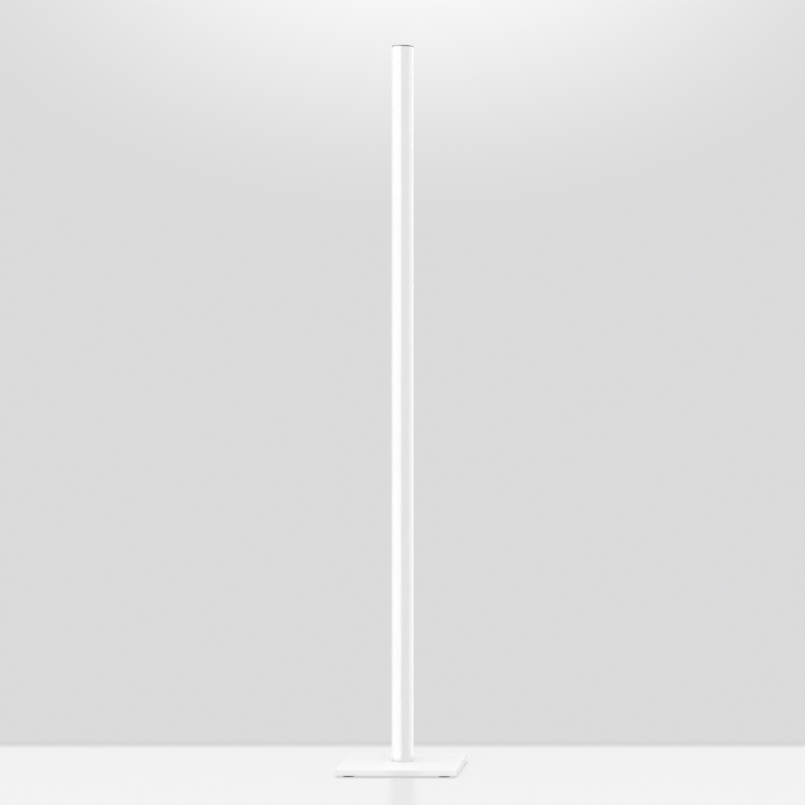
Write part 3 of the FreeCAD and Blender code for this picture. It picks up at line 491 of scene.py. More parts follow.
bare_aluminium = grained_finish(
    "bare aluminium", (0.78, 0.78, 0.79), (0.68, 0.69, 0.70), roughness=(0.3, 0.48),
    grain=0.7 * MM, height=0.02 * MM, mottle=20 * MM, metallic=1.0)
print("coats:", plate_coat.name, column_coat.name, "and bare metal:", bare_aluminium.name)
print("moulded:", black_rubber.name, black_nylon.name, grey_plastic.name, white_plastic.name)


# %% [markdown]
# Turned metal is different: the tool leaves rings round the axis, so the marks need to know where that axis
# is. A Mapping node carries the object's coordinates to the axis first. The top ring, the reflector and the
# screws are turned about an upright axis, and the push-button about a level one.

# %% Turned finishes
GRAIN_PER_RING = 3
MOTTLE_PER_RING = 60


def turned_finish(name, colour, other, roughness, spacing, height, centre=(0, 0, 0), level=False,
                  metallic=1.0):
    """Metal with tool rings round an axis through the centre, upright or level along y."""
    material, tree = new_material(name)
    axis = add_node(tree, "ShaderNodeMapping", {
        "Vector": object_place(tree), "Location": centre,
        "Rotation": (-math.pi / 2 if level else 0, 0, 0)}, vector_type="TEXTURE")
    marks = placed_group(tree, turned_marks, Vector=axis.outputs[0], Spacing=spacing)["Marks"]
    grain = placed_group(tree, fine_grain, Grain_Size=spacing * GRAIN_PER_RING,
                         Mottle_Size=spacing * MOTTLE_PER_RING)
    return dress(material, {
        "Base Color": shades(tree, grain["Mottle"], colour, other), "Metallic": metallic,
        "Roughness": spread(tree, marks, *roughness), "Normal": relief(tree, marks, height)})


button_low, button_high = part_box("button_body")
button_axis_z = (button_low.z + button_high.z) / 2
dark_ring = turned_finish(
    "dark anodised ring", (0.15, 0.15, 0.155), (0.18, 0.18, 0.185), roughness=(0.28, 0.46),
    spacing=0.25 * MM, height=0.01 * MM, metallic=0.3)
steel = turned_finish(
    "stainless steel", (0.62, 0.61, 0.60), (0.54, 0.53, 0.52), roughness=(0.2, 0.38),
    spacing=0.2 * MM, height=0.008 * MM)
button_steel = turned_finish(
    "brushed button steel", (0.66, 0.65, 0.64), (0.58, 0.57, 0.56), roughness=(0.18, 0.4),
    spacing=0.15 * MM, height=0.006 * MM, centre=(0, 0, button_axis_z), level=True)
reflector_metal = turned_finish(
    "spun reflector", (0.90, 0.90, 0.91), (0.84, 0.84, 0.85), roughness=(0.06, 0.2),
    spacing=0.4 * MM, height=0.006 * MM)
print("turned finishes:", dark_ring.name, steel.name, button_steel.name, reflector_metal.name)


# %% [markdown]
# Four finishes have a rule of their own. The glass is clear with faint smudges. The silicone is milky. The
# LED's phosphor glows, because the lamp is on in the photograph. The mains leads show which is which by their
# colours. They could be three materials, but one that picks the colour by how far across a lead lies keeps
# them together.

# %% Glass, silicone, phosphor and leads
LEAD_COLOURS = [(0.16, 0.07, 0.03), (0.10, 0.36, 0.08), (0.02, 0.10, 0.42)]


def glass_finish():
    """Clear, with faint smudges in its tint and in its polish."""
    material, tree = new_material("clear glass")
    smudges = placed_group(tree, fine_grain, Grain_Size=4 * MM, Mottle_Size=12 * MM)["Mottle"]
    return dress(material, {
        "Base Color": shades(tree, smudges, (0.98, 1.0, 0.99), (0.95, 0.98, 0.965)),
        "Roughness": spread(tree, smudges, 0.0, 0.05), "Transmission Weight": 1.0, "IOR": 1.5})


def phosphor_finish():
    """Grainy yellow that glows in a warm white."""
    material, tree = new_material("glowing phosphor")
    masks = placed_group(tree, fine_grain, Grain_Size=0.6 * MM, Mottle_Size=4 * MM)
    return dress(material, {
        "Base Color": shades(tree, masks["Grain"], (0.95, 0.78, 0.25), (0.85, 0.62, 0.15)),
        "Emission Color": shades(tree, masks["Mottle"], (1.0, 0.90, 0.72), (1.0, 0.84, 0.60)),
        "Normal": relief(tree, masks["Grain"], 0.03 * MM), "Emission Strength": 4.0, "Roughness": 0.5})


def lead_finish():
    """Brown, green and blue from left to right, with the fine grain of an insulating jacket."""
    material, tree = new_material("lead jackets")
    leads_low, leads_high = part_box("supply_leads")
    across = add_node(tree, "ShaderNodeSeparateXYZ", {0: object_place(tree)}).outputs["X"]
    share = add_node(tree, "ShaderNodeMapRange", {
        "Value": across, "From Min": leads_low.x, "From Max": leads_high.x})
    ramp = add_node(tree, "ShaderNodeValToRGB", {0: share.outputs[0]})
    stops = ramp.color_ramp.elements
    ramp.color_ramp.interpolation = "CONSTANT"
    while len(stops) < len(LEAD_COLOURS):
        stops.new(len(stops) / len(LEAD_COLOURS))
    for step, (stop, colour) in enumerate(zip(stops, LEAD_COLOURS)):
        stop.position = step / len(LEAD_COLOURS)
        stop.color = (*colour, 1)
    grain = placed_group(tree, fine_grain, Grain_Size=0.5 * MM, Mottle_Size=10 * MM)["Grain"]
    return dress(material, {
        "Base Color": ramp.outputs["Color"], "Roughness": spread(tree, grain, 0.35, 0.55),
        "Normal": relief(tree, grain, 0.01 * MM)})


def silicone_finish():
    """Milky, because light spreads inside it."""
    material = grained_finish("milky silicone", (0.80, 0.81, 0.80), (0.72, 0.73, 0.73), roughness=(0.3, 0.5),
                              grain=0.8 * MM, height=0.02 * MM, mottle=6 * MM)
    return dress(material, {"Subsurface Weight": 0.4, "Subsurface Scale": 2 * MM})


glass = glass_finish()
phosphor = phosphor_finish()
lead_jacket = lead_finish()
clear_silicone = silicone_finish()
print("special finishes:", glass.name, phosphor.name, lead_jacket.name, clear_silicone.name)


# %% [markdown]
# ## Tools for turned and cut pieces
# Most pieces of this lamp come off a lathe, so one function draws a profile, rounds its corners and spins it.
# A Screw modifier could spin it too, but in mesh code the seam and the poles are closed at once. Real edges
# are never perfectly sharp, and the small rounds catch the light. A second function cuts holes with a Boolean
# modifier, and a third sets the normals so that flat faces stay flat beside a round.

# %% Profile and lathe
TURN_STEPS = 96
ROUND_STEPS = 5
SAME_POINT = 1e-7


def rounded(corners, closed):
    """Points of an outline of (radius, height, rounding) corners, with an arc at each rounded one."""
    points = []
    for index, (radius, height, rounding) in enumerate(corners):
        here = Vector((radius, height))
        is_end = not closed and index in (0, len(corners) - 1)
        if rounding == 0 or is_end:
            points.append(here)
            continue
        back = (Vector(corners[index - 1][:2]) - here).normalized()
        onward = (Vector(corners[(index + 1) % len(corners)][:2]) - here).normalized()
        half = back.angle(onward) / 2
        centre = here + (back + onward).normalized() * (rounding / math.sin(half))
        start = (here + back * (rounding / math.tan(half)) - centre).normalized()
        end = (here + onward * (rounding / math.tan(half)) - centre).normalized()
        for step in range(ROUND_STEPS + 1):
            points.append(centre + rounding * start.slerp(end, step / ROUND_STEPS))
    return points


def mesh_from(build, name):
    """Mesh of a finished bmesh, which is then freed."""
    mesh = bpy.data.meshes.new(name)
    build.to_mesh(mesh)
    build.free()
    return mesh


def lathe(name, corners, closed=True):
    """Mesh of a profile spun round the z axis. An open profile starts and ends on the axis."""
    points = rounded(corners, closed)
    build = bmesh.new()
    verts = [build.verts.new((point.x, 0, point.y)) for point in points]
    pairs = zip(verts, verts[1:] + (verts[:1] if closed else []))
    edges = [build.edges.new(pair) for pair in pairs]
    bmesh.ops.spin(build, geom=verts + edges, cent=(0, 0, 0), axis=(0, 0, 1), angle=2 * math.pi,
                   steps=TURN_STEPS, use_duplicate=False)
    bmesh.ops.remove_doubles(build, verts=build.verts, dist=SAME_POINT)
    bmesh.ops.recalc_face_normals(build, faces=build.faces)
    return mesh_from(build, name)


print("lathe:", TURN_STEPS, "steps round,", ROUND_STEPS, "in a rounded corner")


# %% Cutter and finished piece
SHARP_ANGLE = math.radians(35)
FLAT_FACE_WEIGHT = 80
DRILL_SIDES = 64


def finished_mesh(carrier, modifier):
    """Plain mesh of what an object shows with its modifier. Both are cleared away."""
    depsgraph = bpy.context.evaluated_depsgraph_get()
    mesh = bpy.data.meshes.new_from_object(carrier.evaluated_get(depsgraph))
    carrier.modifiers.remove(modifier)
    bpy.data.objects.remove(carrier)
    return mesh


def evaluated_mesh(mesh, kind, **settings):
    """Copy of a mesh with one modifier applied."""
    carrier = add_object(mesh.name, mesh)
    modifier = carrier.modifiers.new(kind, kind)
    for label, value in settings.items():
        setattr(modifier, label, value)
    return finished_mesh(carrier, modifier)


def carved(mesh, build, overlapping=False):
    """Mesh with a cutter's bmesh taken away. Cutters that overlap each other need the slower way."""
    bmesh.ops.recalc_face_normals(build, faces=build.faces)
    tool = add_object("cutter", mesh_from(build, "cutter"))
    result = evaluated_mesh(mesh, "BOOLEAN", object=tool, operation="DIFFERENCE", solver="EXACT",
                            use_self=overlapping)
    bpy.data.objects.remove(tool)
    return result


def add_drill(build, radius, low, high, x=0.0, y=0.0, sides=DRILL_SIDES):
    """Upright round cutter between two heights."""
    place = Matrix.Translation((x, y, (low + high) / 2))
    bmesh.ops.create_cone(build, cap_ends=True, segments=sides, radius1=radius, radius2=radius,
                          depth=high - low, matrix=place)


def place_piece(name, mesh, material, body="lamp", nodes=()):
    """Finish a mesh and put it on its body, in place of the CAD nodes that it stands for."""
    mesh.shade_smooth()
    mesh.set_sharp_from_angle(angle=SHARP_ANGLE)
    mesh = evaluated_mesh(mesh, "WEIGHTED_NORMAL", keep_sharp=True, weight=FLAT_FACE_WEIGHT)
    mesh.materials.clear()
    mesh.materials.append(material)
    piece = add_object(name, mesh)
    mesh.name = name
    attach(piece, body)
    if nodes:
        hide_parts(*nodes)
    print(name, "faces:", len(mesh.polygons))
    return piece


print("edges sharper than", round(math.degrees(SHARP_ANGLE)), "degrees stay sharp")


# %% [markdown]
# ## Paint on the column
# The column is an aluminium extrusion, a round tube pushed through a die, with a film of powder coat outside.
# The CAD tube is drawn with few flats because it is so long, so the film goes over it as a smooth skin of its
# own. An extruded shape follows a rule: one section, drawn out along a line. Geometry Nodes say just that.
# They fill the ring between two circles and extrude it, and the size of the section stays an input.

# %% Extruded section
SEAM_GAP = 0.001 * MM


def geometry_tree(name, inputs):
    """Empty Geometry Nodes tree with one geometry output, and the sockets that give its named inputs."""
    tree = bpy.data.node_groups.new(name, "GeometryNodeTree")
    tree.is_modifier = True
    tree.interface.new_socket("Geometry", in_out="OUTPUT", socket_type="NodeSocketGeometry")
    for label, kind in inputs.items():
        tree.interface.new_socket(label, in_out="INPUT", socket_type="NodeSocket" + kind)
    return tree, add_node(tree, "NodeGroupInput").outputs


def joined(tree, parts):
    """Several geometries as one."""
    join = add_node(tree, "GeometryNodeJoinGeometry")
    for part in parts:
        tree.links.new(part, join.inputs[0])
    return join.outputs[0]


def close_tree(tree, geometry, material):
    """Realize the instances, set the material and hand the geometry out."""
    realized = add_node(tree, "GeometryNodeRealizeInstances", {0: geometry}).outputs[0]
    painted = add_node(tree, "GeometryNodeSetMaterial", {"Geometry": realized, "Material": material})
    add_node(tree, "NodeGroupOutput", {0: painted.outputs[0]})


def tree_inputs(tree):
    return [item for item in tree.interface.items_tree if item.in_out == "INPUT"]


def grown_mesh(tree, values):
    """Plain mesh that a tree makes from these values."""
    carrier = add_object(tree.name, bpy.data.meshes.new(tree.name))
    modifier = carrier.modifiers.new(tree.name, "NODES")
    modifier.node_group = tree
    for item in tree_inputs(tree):
        modifier[item.identifier] = values[item.name]
    return finished_mesh(carrier, modifier)


def build_tube_tree():
    """Ring section between two radii, filled and extruded upwards from its bottom."""
    tree, given = geometry_tree("Extruded ring", {
        "Sides": "Int", "Outer Radius": "Float", "Inner Radius": "Float", "Bottom": "Vector",
        "Length": "Float", "Material": "Material"})
    circles = []
    for label in ("Outer Radius", "Inner Radius"):
        circle = add_node(tree, "GeometryNodeCurvePrimitiveCircle", {
            "Resolution": given["Sides"], "Radius": given[label]})
        circles.append(circle.outputs[0])
    section = add_node(tree, "GeometryNodeFillCurve", {0: joined(tree, circles)}).outputs[0]
    bottom = add_node(tree, "GeometryNodeTransform", {0: section, "Translation": given["Bottom"]}).outputs[0]
    upwards = add_node(tree, "ShaderNodeCombineXYZ", {"Z": 1}).outputs[0]
    drawn = add_node(tree, "GeometryNodeExtrudeMesh", {
        "Mesh": bottom, "Offset": upwards, "Offset Scale": given["Length"], "Individual": False})
    underside = add_node(tree, "GeometryNodeFlipFaces", {0: bottom})
    both = joined(tree, [drawn.outputs["Mesh"], underside.outputs[0]])
    seam = add_node(tree, "GeometryNodeMergeByDistance", {0: both, "Distance": SEAM_GAP})
    close_tree(tree, seam.outputs[0], given["Material"])
    return tree


tube_tree = build_tube_tree()
print("inputs of", tube_tree.name, [item.name for item in tree_inputs(tube_tree)])


# %% Column paint
PAINT_FILM = 0.08 * MM
COLUMN_SIDES = 192
BUTTON_SEAT_MARGIN = 0.2 * MM

column_low, column_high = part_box("column_tube")
column_r = (column_high.x - column_low.x) / 2
button_flange_r = (button_high.z - button_low.z) / 2
laid_level = Matrix.Translation((0, 0, button_axis_z)) @ Matrix.Rotation(-math.pi / 2, 4, "X")
film = grown_mesh(tube_tree, {
    "Sides": COLUMN_SIDES, "Outer Radius": column_r + PAINT_FILM, "Inner Radius": column_r,
    "Bottom": (0, 0, column_low.z), "Length": column_high.z - column_low.z, "Material": column_coat,
})
button_seat = bmesh.new()
add_drill(button_seat, button_flange_r + BUTTON_SEAT_MARGIN, 0, 2 * column_r)
button_seat.transform(laid_level)
column_paint = place_piece("column_paint", carved(film, button_seat), column_coat)
column_skin.objects.link(column_paint)


# %% [markdown]
# ## Base plate
# The plate is flame-cut steel with rounded corners and a rounded top edge, which draws the thin bright line
# round it. A Bevel modifier could round a block, but the cuts come later and would be rounded with it. So the
# plate is stacked from outlines: each is the plate's shape, drawn in a little further as the top edge rounds
# over. Then the seat for the column, the pocket, the cable channel and the seats of the feet are cut.

# %% Plate outline and rounds
CORNER_STEPS = 12
TOP_ROUND_STEPS = 10
PLATE_CORNER = 15 * MM
PLATE_TOP_ROUND = 2 * MM
PLATE_BOTTOM_ROUND = 0.5 * MM
QUARTER_TURN = math.pi / 2
plate_low, plate_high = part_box("base_plate")


def plate_outline(inset):
    """Rounded square of the plate, drawn in by an inset, as (x, y) points."""
    radius = PLATE_CORNER - inset
    half_x = plate_high.x - PLATE_CORNER
    half_y = plate_high.y - PLATE_CORNER
    points = []
    for quarter, (side_x, side_y) in enumerate([(1, 1), (-1, 1), (-1, -1), (1, -1)]):
        for step in range(CORNER_STEPS + 1):
            angle = QUARTER_TURN * (quarter + step / CORNER_STEPS)
            points.append((side_x * half_x + radius * math.cos(angle),
                           side_y * half_y + radius * math.sin(angle)))
    return points


def plate_levels():
    """Pairs of inset and height, from the underside's round to the top's."""
    levels = []
    for step in range(ROUND_STEPS + 1):
        angle = QUARTER_TURN * step / ROUND_STEPS
        levels.append((PLATE_BOTTOM_ROUND * (1 - math.sin(angle)),
                       plate_low.z + PLATE_BOTTOM_ROUND * (1 - math.cos(angle))))
    for step in range(TOP_ROUND_STEPS + 1):
        angle = QUARTER_TURN * step / TOP_ROUND_STEPS
        levels.append((PLATE_TOP_ROUND * (1 - math.cos(angle)),
                       plate_high.z - PLATE_TOP_ROUND * (1 - math.sin(angle))))
    return levels


def plate_blank():
    build = bmesh.new()
    rings = []
    for inset, height in plate_levels():
        rings.append([build.verts.new((x, y, height)) for x, y in plate_outline(inset)])
    for lower, upper in zip(rings, rings[1:]):
        for index in range(len(lower)):
            after = (index + 1) % len(lower)
            build.faces.new((lower[index], lower[after], upper[after], upper[index]))
    build.faces.new(rings[-1])
    build.faces.new(list(reversed(rings[0])))
    return mesh_from(build, "plate")


print("plate:", len(plate_levels()), "outlines of", len(plate_outline(0)), "points")


# %% Plate cuts
CUT_MARGIN = 1 * MM
SEAT_CLEARANCE = 0.2 * MM
FOOT_CLEARANCE = 0.3 * MM
COVER_CLEARANCE = 0.3 * MM
COLUMN_SCREW_HOLE_R = 2.75 * MM
COVER_SCREW_HOLE_R = 1.55 * MM
FOOT_SCREW_HOLE_R = 2.05 * MM
GLAND_HOLE_R = 6.15 * MM
CHANNEL_WIDTH = 9 * MM
POCKET_LAND = 9 * MM
SCREW_TURN = math.radians(45)
COLUMN_SCREW_HEAD_R = 4.25 * MM
COVER_SCREW_HEAD_R = 2.75 * MM
FOOT_SCREW_HEAD_R = 4.0 * MM
BROAD_SIDES = 128
POCKET_SIDES = 96
HOLE_SIDES = 32
FEET = ("front_left", "front_right", "rear_left", "rear_right")

cover_low, cover_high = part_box("base_cover")
cover_screw_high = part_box("base_cover_screws")[1]
foot_screw_low, foot_screw_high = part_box("foot_screws")
seat_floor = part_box("column_gasket")[0].z
pocket_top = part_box("gland_locknut")[1].z


def screw_circle(group_high, head_r):
    """Radius of the circle through four screws at 45 degrees, from the far corner of their common box."""
    return (group_high.x - head_r) / math.cos(SCREW_TURN)


def corners_at_45(circle):
    shift = circle * math.cos(SCREW_TURN)
    return [(x, y) for x in (-shift, shift) for y in (-shift, shift)]


def foot_place(name):
    """Centre, radius and top of one foot."""
    low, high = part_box("foot_" + name)
    return (low + high) / 2, (high.x - low.x) / 2, high.z


column_screw_circle = screw_circle(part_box("column_screws")[1], COLUMN_SCREW_HEAD_R)
cover_screw_circle = screw_circle(cover_screw_high, COVER_SCREW_HEAD_R)
foot_screw_circle = screw_circle(foot_screw_high, FOOT_SCREW_HEAD_R)


def plate_cutter():
    build = bmesh.new()
    below = plate_low.z - CUT_MARGIN
    through_low, through_high = pocket_top - CUT_MARGIN, seat_floor + CUT_MARGIN
    cover_r = cover_high.x
    add_drill(build, column_r + SEAT_CLEARANCE, seat_floor, plate_high.z + CUT_MARGIN, sides=BROAD_SIDES)
    add_drill(build, GLAND_HOLE_R, through_low, through_high)
    add_drill(build, cover_r - POCKET_LAND, below, pocket_top, sides=POCKET_SIDES)
    add_drill(build, cover_r + COVER_CLEARANCE, below, cover_high.z, sides=BROAD_SIDES)
    for x, y in corners_at_45(column_screw_circle):
        add_drill(build, COLUMN_SCREW_HOLE_R, through_low, through_high, x, y, HOLE_SIDES)
    for x, y in corners_at_45(cover_screw_circle):
        add_drill(build, COVER_SCREW_HOLE_R, cover_low.z, cover_screw_high.z + CUT_MARGIN, x, y, HOLE_SIDES)
    for name in FEET:
        middle, foot_r, foot_top = foot_place(name)
        add_drill(build, foot_r + FOOT_CLEARANCE, below, foot_top, middle.x, middle.y)
        add_drill(build, FOOT_SCREW_HOLE_R, foot_top - CUT_MARGIN, foot_screw_high.z + CUT_MARGIN,
                  middle.x, middle.y, HOLE_SIDES)
    length = plate_high.y + CUT_MARGIN
    channel = Matrix.Translation((0, length / 2, (below + pocket_top) / 2))
    channel @= Matrix.Diagonal((CHANNEL_WIDTH, length, pocket_top - below, 1))
    bmesh.ops.create_cube(build, size=1, matrix=channel)
    return build


place_piece("plate", carved(plate_blank(), plate_cutter(), overlapping=True), plate_coat,
            nodes=["base_plate"])


# %% [markdown]
# ## Feet
# Four moulded rubber pucks keep the plate off the ground and let water run out under it. Moulded rubber has
# soft edges, and its underside has ring grooves that grip. The grooves could be a bump in the material, but
# the underside is seen when the lamp is carried, so they are cut in the profile. Each puck is one lathe
# profile, moved to its place.

# %% Rubber feet
FOOT_WELL_R = 4.25 * MM
FOOT_BORE_R = 2.25 * MM
FOOT_TAPER = 1.0 * MM
FOOT_ROUND = 0.4 * MM
FOOT_WELL_ROUND = 0.2 * MM
FOOT_SCREW_HEAD = 2.6 * MM
GROOVE_DEPTH = 0.6 * MM
GROOVE_WIDTH = 1.0 * MM
GROOVE_ROUND = 0.1 * MM
GROOVE_COUNT = 3
foot_seat = foot_screw_low.z + FOOT_SCREW_HEAD


def foot_profile(foot_r, top):
    """Closed profile from the screw's well outwards under the puck, up its side and back along its top."""
    step = (foot_r - FOOT_TAPER - FOOT_WELL_R) / (GROOVE_COUNT + 1)
    corners = [(FOOT_WELL_R, 0, FOOT_WELL_ROUND)]
    for groove in range(1, GROOVE_COUNT + 1):
        middle = FOOT_WELL_R + groove * step
        near, far = middle - GROOVE_WIDTH / 2, middle + GROOVE_WIDTH / 2
        corners += [(near, 0, GROOVE_ROUND), (near, GROOVE_DEPTH, 0), (far, GROOVE_DEPTH, 0),
                    (far, 0, GROOVE_ROUND)]
    corners += [(foot_r - FOOT_TAPER, 0, FOOT_ROUND), (foot_r, 2 * FOOT_TAPER, FOOT_ROUND),
                (foot_r, top, FOOT_ROUND), (FOOT_BORE_R, top, 0), (FOOT_BORE_R, foot_seat, 0),
                (FOOT_WELL_R, foot_seat, 0)]
    return corners


for name in FEET:
    middle, foot_r, foot_top = foot_place(name)
    puck = lathe("puck", foot_profile(foot_r, foot_top))
    puck.transform(Matrix.Translation((middle.x, middle.y, 0)))
    place_piece("puck_" + name, puck, black_rubber, nodes=["foot_" + name])


# %% [markdown]
# ## Screws under the plate
# The cover and the feet are held by socket screws, four of each, all on circles. Eight screws could be made
# one by one. Instead, one screw is turned and its socket cut, and Geometry Nodes put copies of it on the
# points of a circle. The same tree serves both sets.

# %% One screw and its circle
SCREW_ROUND = 0.4 * MM
SCREW_SEAT_ROUND = 0.1 * MM
SCREW_COUNT = 4
SOCKET_SIDES = 6
HEAD_PER_SOCKET = math.sqrt(3)


def one_screw(name, shank_r, reach, head_r, head_height):
    """Screw along z with its head downwards and the bearing face at zero."""
    blank = lathe(name, [
        (0, -head_height, 0), (head_r, -head_height, SCREW_ROUND), (head_r, 0, SCREW_SEAT_ROUND),
        (shank_r, 0, 0), (shank_r, reach, SCREW_ROUND), (0, reach, 0)], closed=False)
    socket = bmesh.new()
    add_drill(socket, head_r / HEAD_PER_SOCKET, -head_height - CUT_MARGIN, -head_height / 2,
              sides=SOCKET_SIDES)
    return carved(blank, socket)


def build_screw_tree():
    """Copies of one screw on a circle at a height."""
    tree, given = geometry_tree("Screws on a circle", {
        "Screw": "Object", "Count": "Int", "Circle Radius": "Float", "First Place": "Vector",
        "Height": "Vector", "Material": "Material"})
    circle = add_node(tree, "GeometryNodeMeshCircle", {
        "Vertices": given["Count"], "Radius": given["Circle Radius"]})
    places = add_node(tree, "GeometryNodeTransform", {
        0: circle.outputs[0], "Translation": given["Height"], "Rotation": given["First Place"]})
    screw = add_node(tree, "GeometryNodeObjectInfo", {"Object": given["Screw"]})
    copies = add_node(tree, "GeometryNodeInstanceOnPoints", {
        "Points": places.outputs[0], "Instance": screw.outputs["Geometry"]})
    close_tree(tree, copies.outputs[0], given["Material"])
    return tree


screw_tree = build_screw_tree()
print("inputs of", screw_tree.name, [item.name for item in tree_inputs(screw_tree)])


# %% Screw sets
FOOT_SCREW_R = 2 * MM
COVER_SCREW_R = 1.5 * MM
COVER_SCREW_HEAD = 1.9 * MM


def screw_set(name, mesh, circle, seat, node):
    """Copies of a screw round the column's axis, as one piece."""
    pattern = add_object(name + "_pattern", mesh)
    grown = grown_mesh(screw_tree, {
        "Screw": pattern, "Count": SCREW_COUNT, "Circle Radius": circle, "First Place": (0, 0, SCREW_TURN),
        "Height": (0, 0, seat), "Material": steel})
    bpy.data.objects.remove(pattern)
    place_piece(name, grown, steel, nodes=[node])


foot_screw = one_screw("foot_screw", FOOT_SCREW_R, foot_screw_high.z - foot_seat, FOOT_SCREW_HEAD_R,
                       FOOT_SCREW_HEAD)
cover_screw = one_screw("cover_screw", COVER_SCREW_R, cover_screw_high.z - cover_low.z, COVER_SCREW_HEAD_R,
                        COVER_SCREW_HEAD)
screw_set("foot_screw_set", foot_screw, foot_screw_circle, foot_seat, "foot_screws")
screw_set("cover_screw_set", cover_screw, cover_screw_circle, cover_low.z, "base_cover_screws")


# %% [markdown]
# ## Head
# A dark turned ring closes the column's top and holds the glass down. Two small holes take the pin spanner
# that screws it in. Under the glass sits a spun reflector, a thin bowl that follows a parabola from the LED
# to the glass. A curve with a bevel could draw the ring, but its section has sharp and soft corners side by
# side, so all of them are lathe pieces, and only the ring needs a cut.

# %% Top ring
RING_EDGE = 0.4 * MM
RING_SOFTNESS = 0.12 * MM
WINDOW_BEVEL = 1.2 * MM
GLASS_OVERLAP = 2.0 * MM
SKIRT_GAP = 0.05 * MM
SKIRT_WALL = 1.65 * MM
SPANNER_R = 1.5 * MM
SPANNER_DEPTH = 1.5 * MM

ring_low, ring_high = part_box("top_ring")
glass_low, glass_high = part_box("glass_lens")
gasket_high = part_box("lens_gasket")[1]
ring_r = ring_high.x
window_r = glass_high.x - GLASS_OVERLAP
mouth_r = window_r + WINDOW_BEVEL
skirt_inner_r = gasket_high.x + SKIRT_GAP
skirt_r = skirt_inner_r + SKIRT_WALL


def ring_profile():
    """From the window's mouth over the top and down the side, round the skirt and back under the lip."""
    soft = RING_SOFTNESS
    return [
        (mouth_r, ring_high.z, soft), (ring_r - RING_EDGE, ring_high.z, soft),
        (ring_r, ring_high.z - RING_EDGE, soft), (ring_r, column_high.z, soft), (skirt_r, column_high.z, 0),
        (skirt_r, ring_low.z, soft), (skirt_inner_r, ring_low.z, soft), (skirt_inner_r, gasket_high.z, 0),
        (window_r, gasket_high.z, soft),
    ]


spanner_holes = bmesh.new()
for side in (-1, 1):
    add_drill(spanner_holes, SPANNER_R, ring_high.z - SPANNER_DEPTH, ring_high.z + CUT_MARGIN,
              side * (mouth_r + ring_r) / 2, 0, HOLE_SIDES)
closing_ring = place_piece("closing_ring", carved(lathe("ring", ring_profile()), spanner_holes), dark_ring,
                           nodes=["top_ring"])
column_skin.objects.link(closing_ring)


# %% Glass and reflector
GLASS_EDGE = 0.4 * MM
REFLECTOR_WALL = 0.8 * MM
REFLECTOR_FLANGE = 1.2 * MM
REFLECTOR_EDGE = 0.2 * MM
THROAT_FLARE = 1.6 * MM
BOWL_STEPS = 24

glass_r = glass_high.x
throat_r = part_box("led_emitter")[1].x + THROAT_FLARE
reflector_low, reflector_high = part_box("reflector")
glass_profile = [(0, glass_low.z, 0), (glass_r, glass_low.z, GLASS_EDGE),
                 (glass_r, glass_high.z, GLASS_EDGE), (0, glass_high.z, 0)]


def bowl_profile():
    """Inside of the bowl upwards along a parabola, the flange, and the outside back down."""
    low, high = reflector_low.z, reflector_high.z
    inside = []
    for step in range(BOWL_STEPS + 1):
        share = step / BOWL_STEPS
        radius = math.sqrt(throat_r ** 2 + share * (window_r ** 2 - throat_r ** 2))
        inside.append((radius, low + share * (high - low), 0))
    outside = []
    for radius, height, rounding in reversed(inside[1:]):
        outside.append((radius + REFLECTOR_WALL, max(low, height - REFLECTOR_FLANGE), rounding))
    flange_r = reflector_high.x
    flange = [(flange_r, high, REFLECTOR_EDGE), (flange_r, high - REFLECTOR_FLANGE, REFLECTOR_EDGE)]
    return inside + flange + outside


place_piece("window_glass", lathe("window", glass_profile, closed=False), glass,
            nodes=["glass_lens"])
place_piece("light_bowl", lathe("bowl", bowl_profile()), reflector_metal,
            nodes=["reflector"])


# %% [markdown]
# ## Push-button
# The switch is on the back of the column, where the photograph doesn't reach. It is a weatherproof steel
# button: a flange on a seal, and a crowned cap that travels 1.5 mm into it. The crown could be a bevel, but
# a real one is a shallow dome, so its points follow a parabola. Both pieces are turned about z and then laid
# level, and the cap rides on its own body, so that it moves.

# %% Button body and cap
FLANGE_ROUND = 0.5 * MM
FLANGE_THICKNESS = 1.6 * MM
MOUTH_ROUND = 0.15 * MM
BARREL_R = 6.0 * MM
LIP_DEPTH = 1.2 * MM
CAP_ROUND = 0.35 * MM
CAP_CROWN = 0.5 * MM
CROWN_SHARE = 0.92
CROWN_STEPS = 8
CAP_CLEARANCE = 0.06 * MM
CAP_SHOULDER_STEP = 0.6 * MM
CAP_SHOULDER = 1.5 * MM
CAP_TRAVEL = 1.5 * MM

cap_low, cap_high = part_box("button_cap")
cap_shoulder_r = (cap_high.z - cap_low.z) / 2
cap_r = cap_shoulder_r - CAP_SHOULDER_STEP


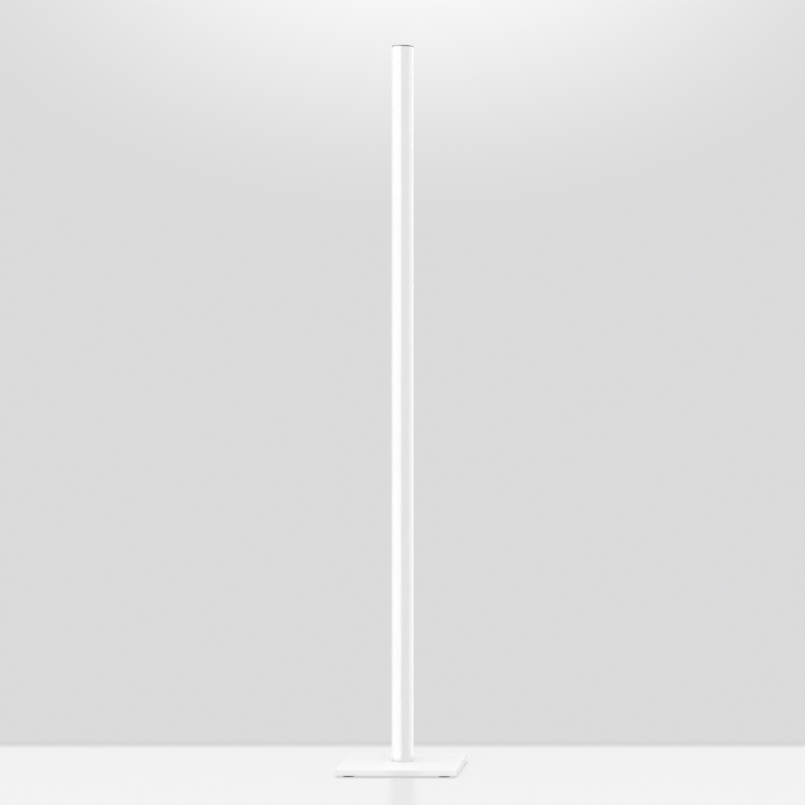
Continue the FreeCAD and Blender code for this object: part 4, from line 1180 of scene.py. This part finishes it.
def button_body_profile():
    """Barrel, flange and stepped well, with heights measured along y."""
    face = button_high.y
    seat = face - FLANGE_THICKNESS
    lip = face - LIP_DEPTH
    well_r = cap_shoulder_r + CAP_CLEARANCE
    mouth = cap_r + CAP_CLEARANCE
    well_bottom = cap_low.y - CAP_TRAVEL - CAP_CLEARANCE
    return [
        (0, button_low.y, 0), (BARREL_R, button_low.y, FLANGE_ROUND), (BARREL_R, seat, 0),
        (button_flange_r, seat, 0), (button_flange_r, face, FLANGE_ROUND), (mouth, face, MOUTH_ROUND),
        (mouth, lip, 0), (well_r, lip, 0), (well_r, well_bottom, 0), (0, well_bottom, 0),
    ]


def button_cap_profile():
    """Shoulder, side and crowned face, with heights measured along y."""
    rim = cap_high.y - CAP_CROWN
    shoulder_top = cap_low.y + CAP_SHOULDER
    corners = [(0, cap_low.y, 0), (cap_shoulder_r, cap_low.y, 0), (cap_shoulder_r, shoulder_top, 0),
               (cap_r, shoulder_top, 0), (cap_r, rim, CAP_ROUND)]
    for step in range(1, CROWN_STEPS):
        share = CROWN_SHARE * (1 - step / CROWN_STEPS)
        corners.append((cap_r * share, rim + CAP_CROWN * (1 - share ** 2), 0))
    return corners + [(0, cap_high.y, 0)]


for name, profile, body, node in [("button_bezel", button_body_profile(), "lamp", "button_body"),
                                  ("button_face", button_cap_profile(), "button", "button_cap")]:
    mesh = lathe(name, profile, closed=False)
    mesh.transform(laid_level)
    place_piece(name, mesh, button_steel, body=body, nodes=[node])


# %% [markdown]
# ## Pieces that keep their CAD shape
# The rest of the lamp is inside the column or under the cover: gland, leads, driver, screws, seals and the
# finned head. Their CAD shapes are right, and modelling them again would add nothing. So they only get their
# finishes, chosen by the material slot that each one has. The tube under the paint is bare aluminium.

# %% Finishes for the CAD pieces
FINISH_OF_SLOT = {
    "white_paint": plate_coat, "white_column": bare_aluminium, "dark_ring": dark_ring,
    "black_rubber": black_rubber, "clear_silicone": clear_silicone, "steel": steel,
    "bare_aluminium": bare_aluminium, "black_nylon": black_nylon, "grey_plastic": grey_plastic,
    "white_plastic": white_plastic, "lead_jacket": lead_jacket, "phosphor": phosphor,
    "reflector_metal": reflector_metal, "glass": glass,
}
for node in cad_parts.values():
    for slot in node.material_slots:
        slot.material = FINISH_OF_SLOT[slot.material.name.split(".")[0]]
print("CAD pieces with finishes:", sum(not node.hide_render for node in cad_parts.values()))
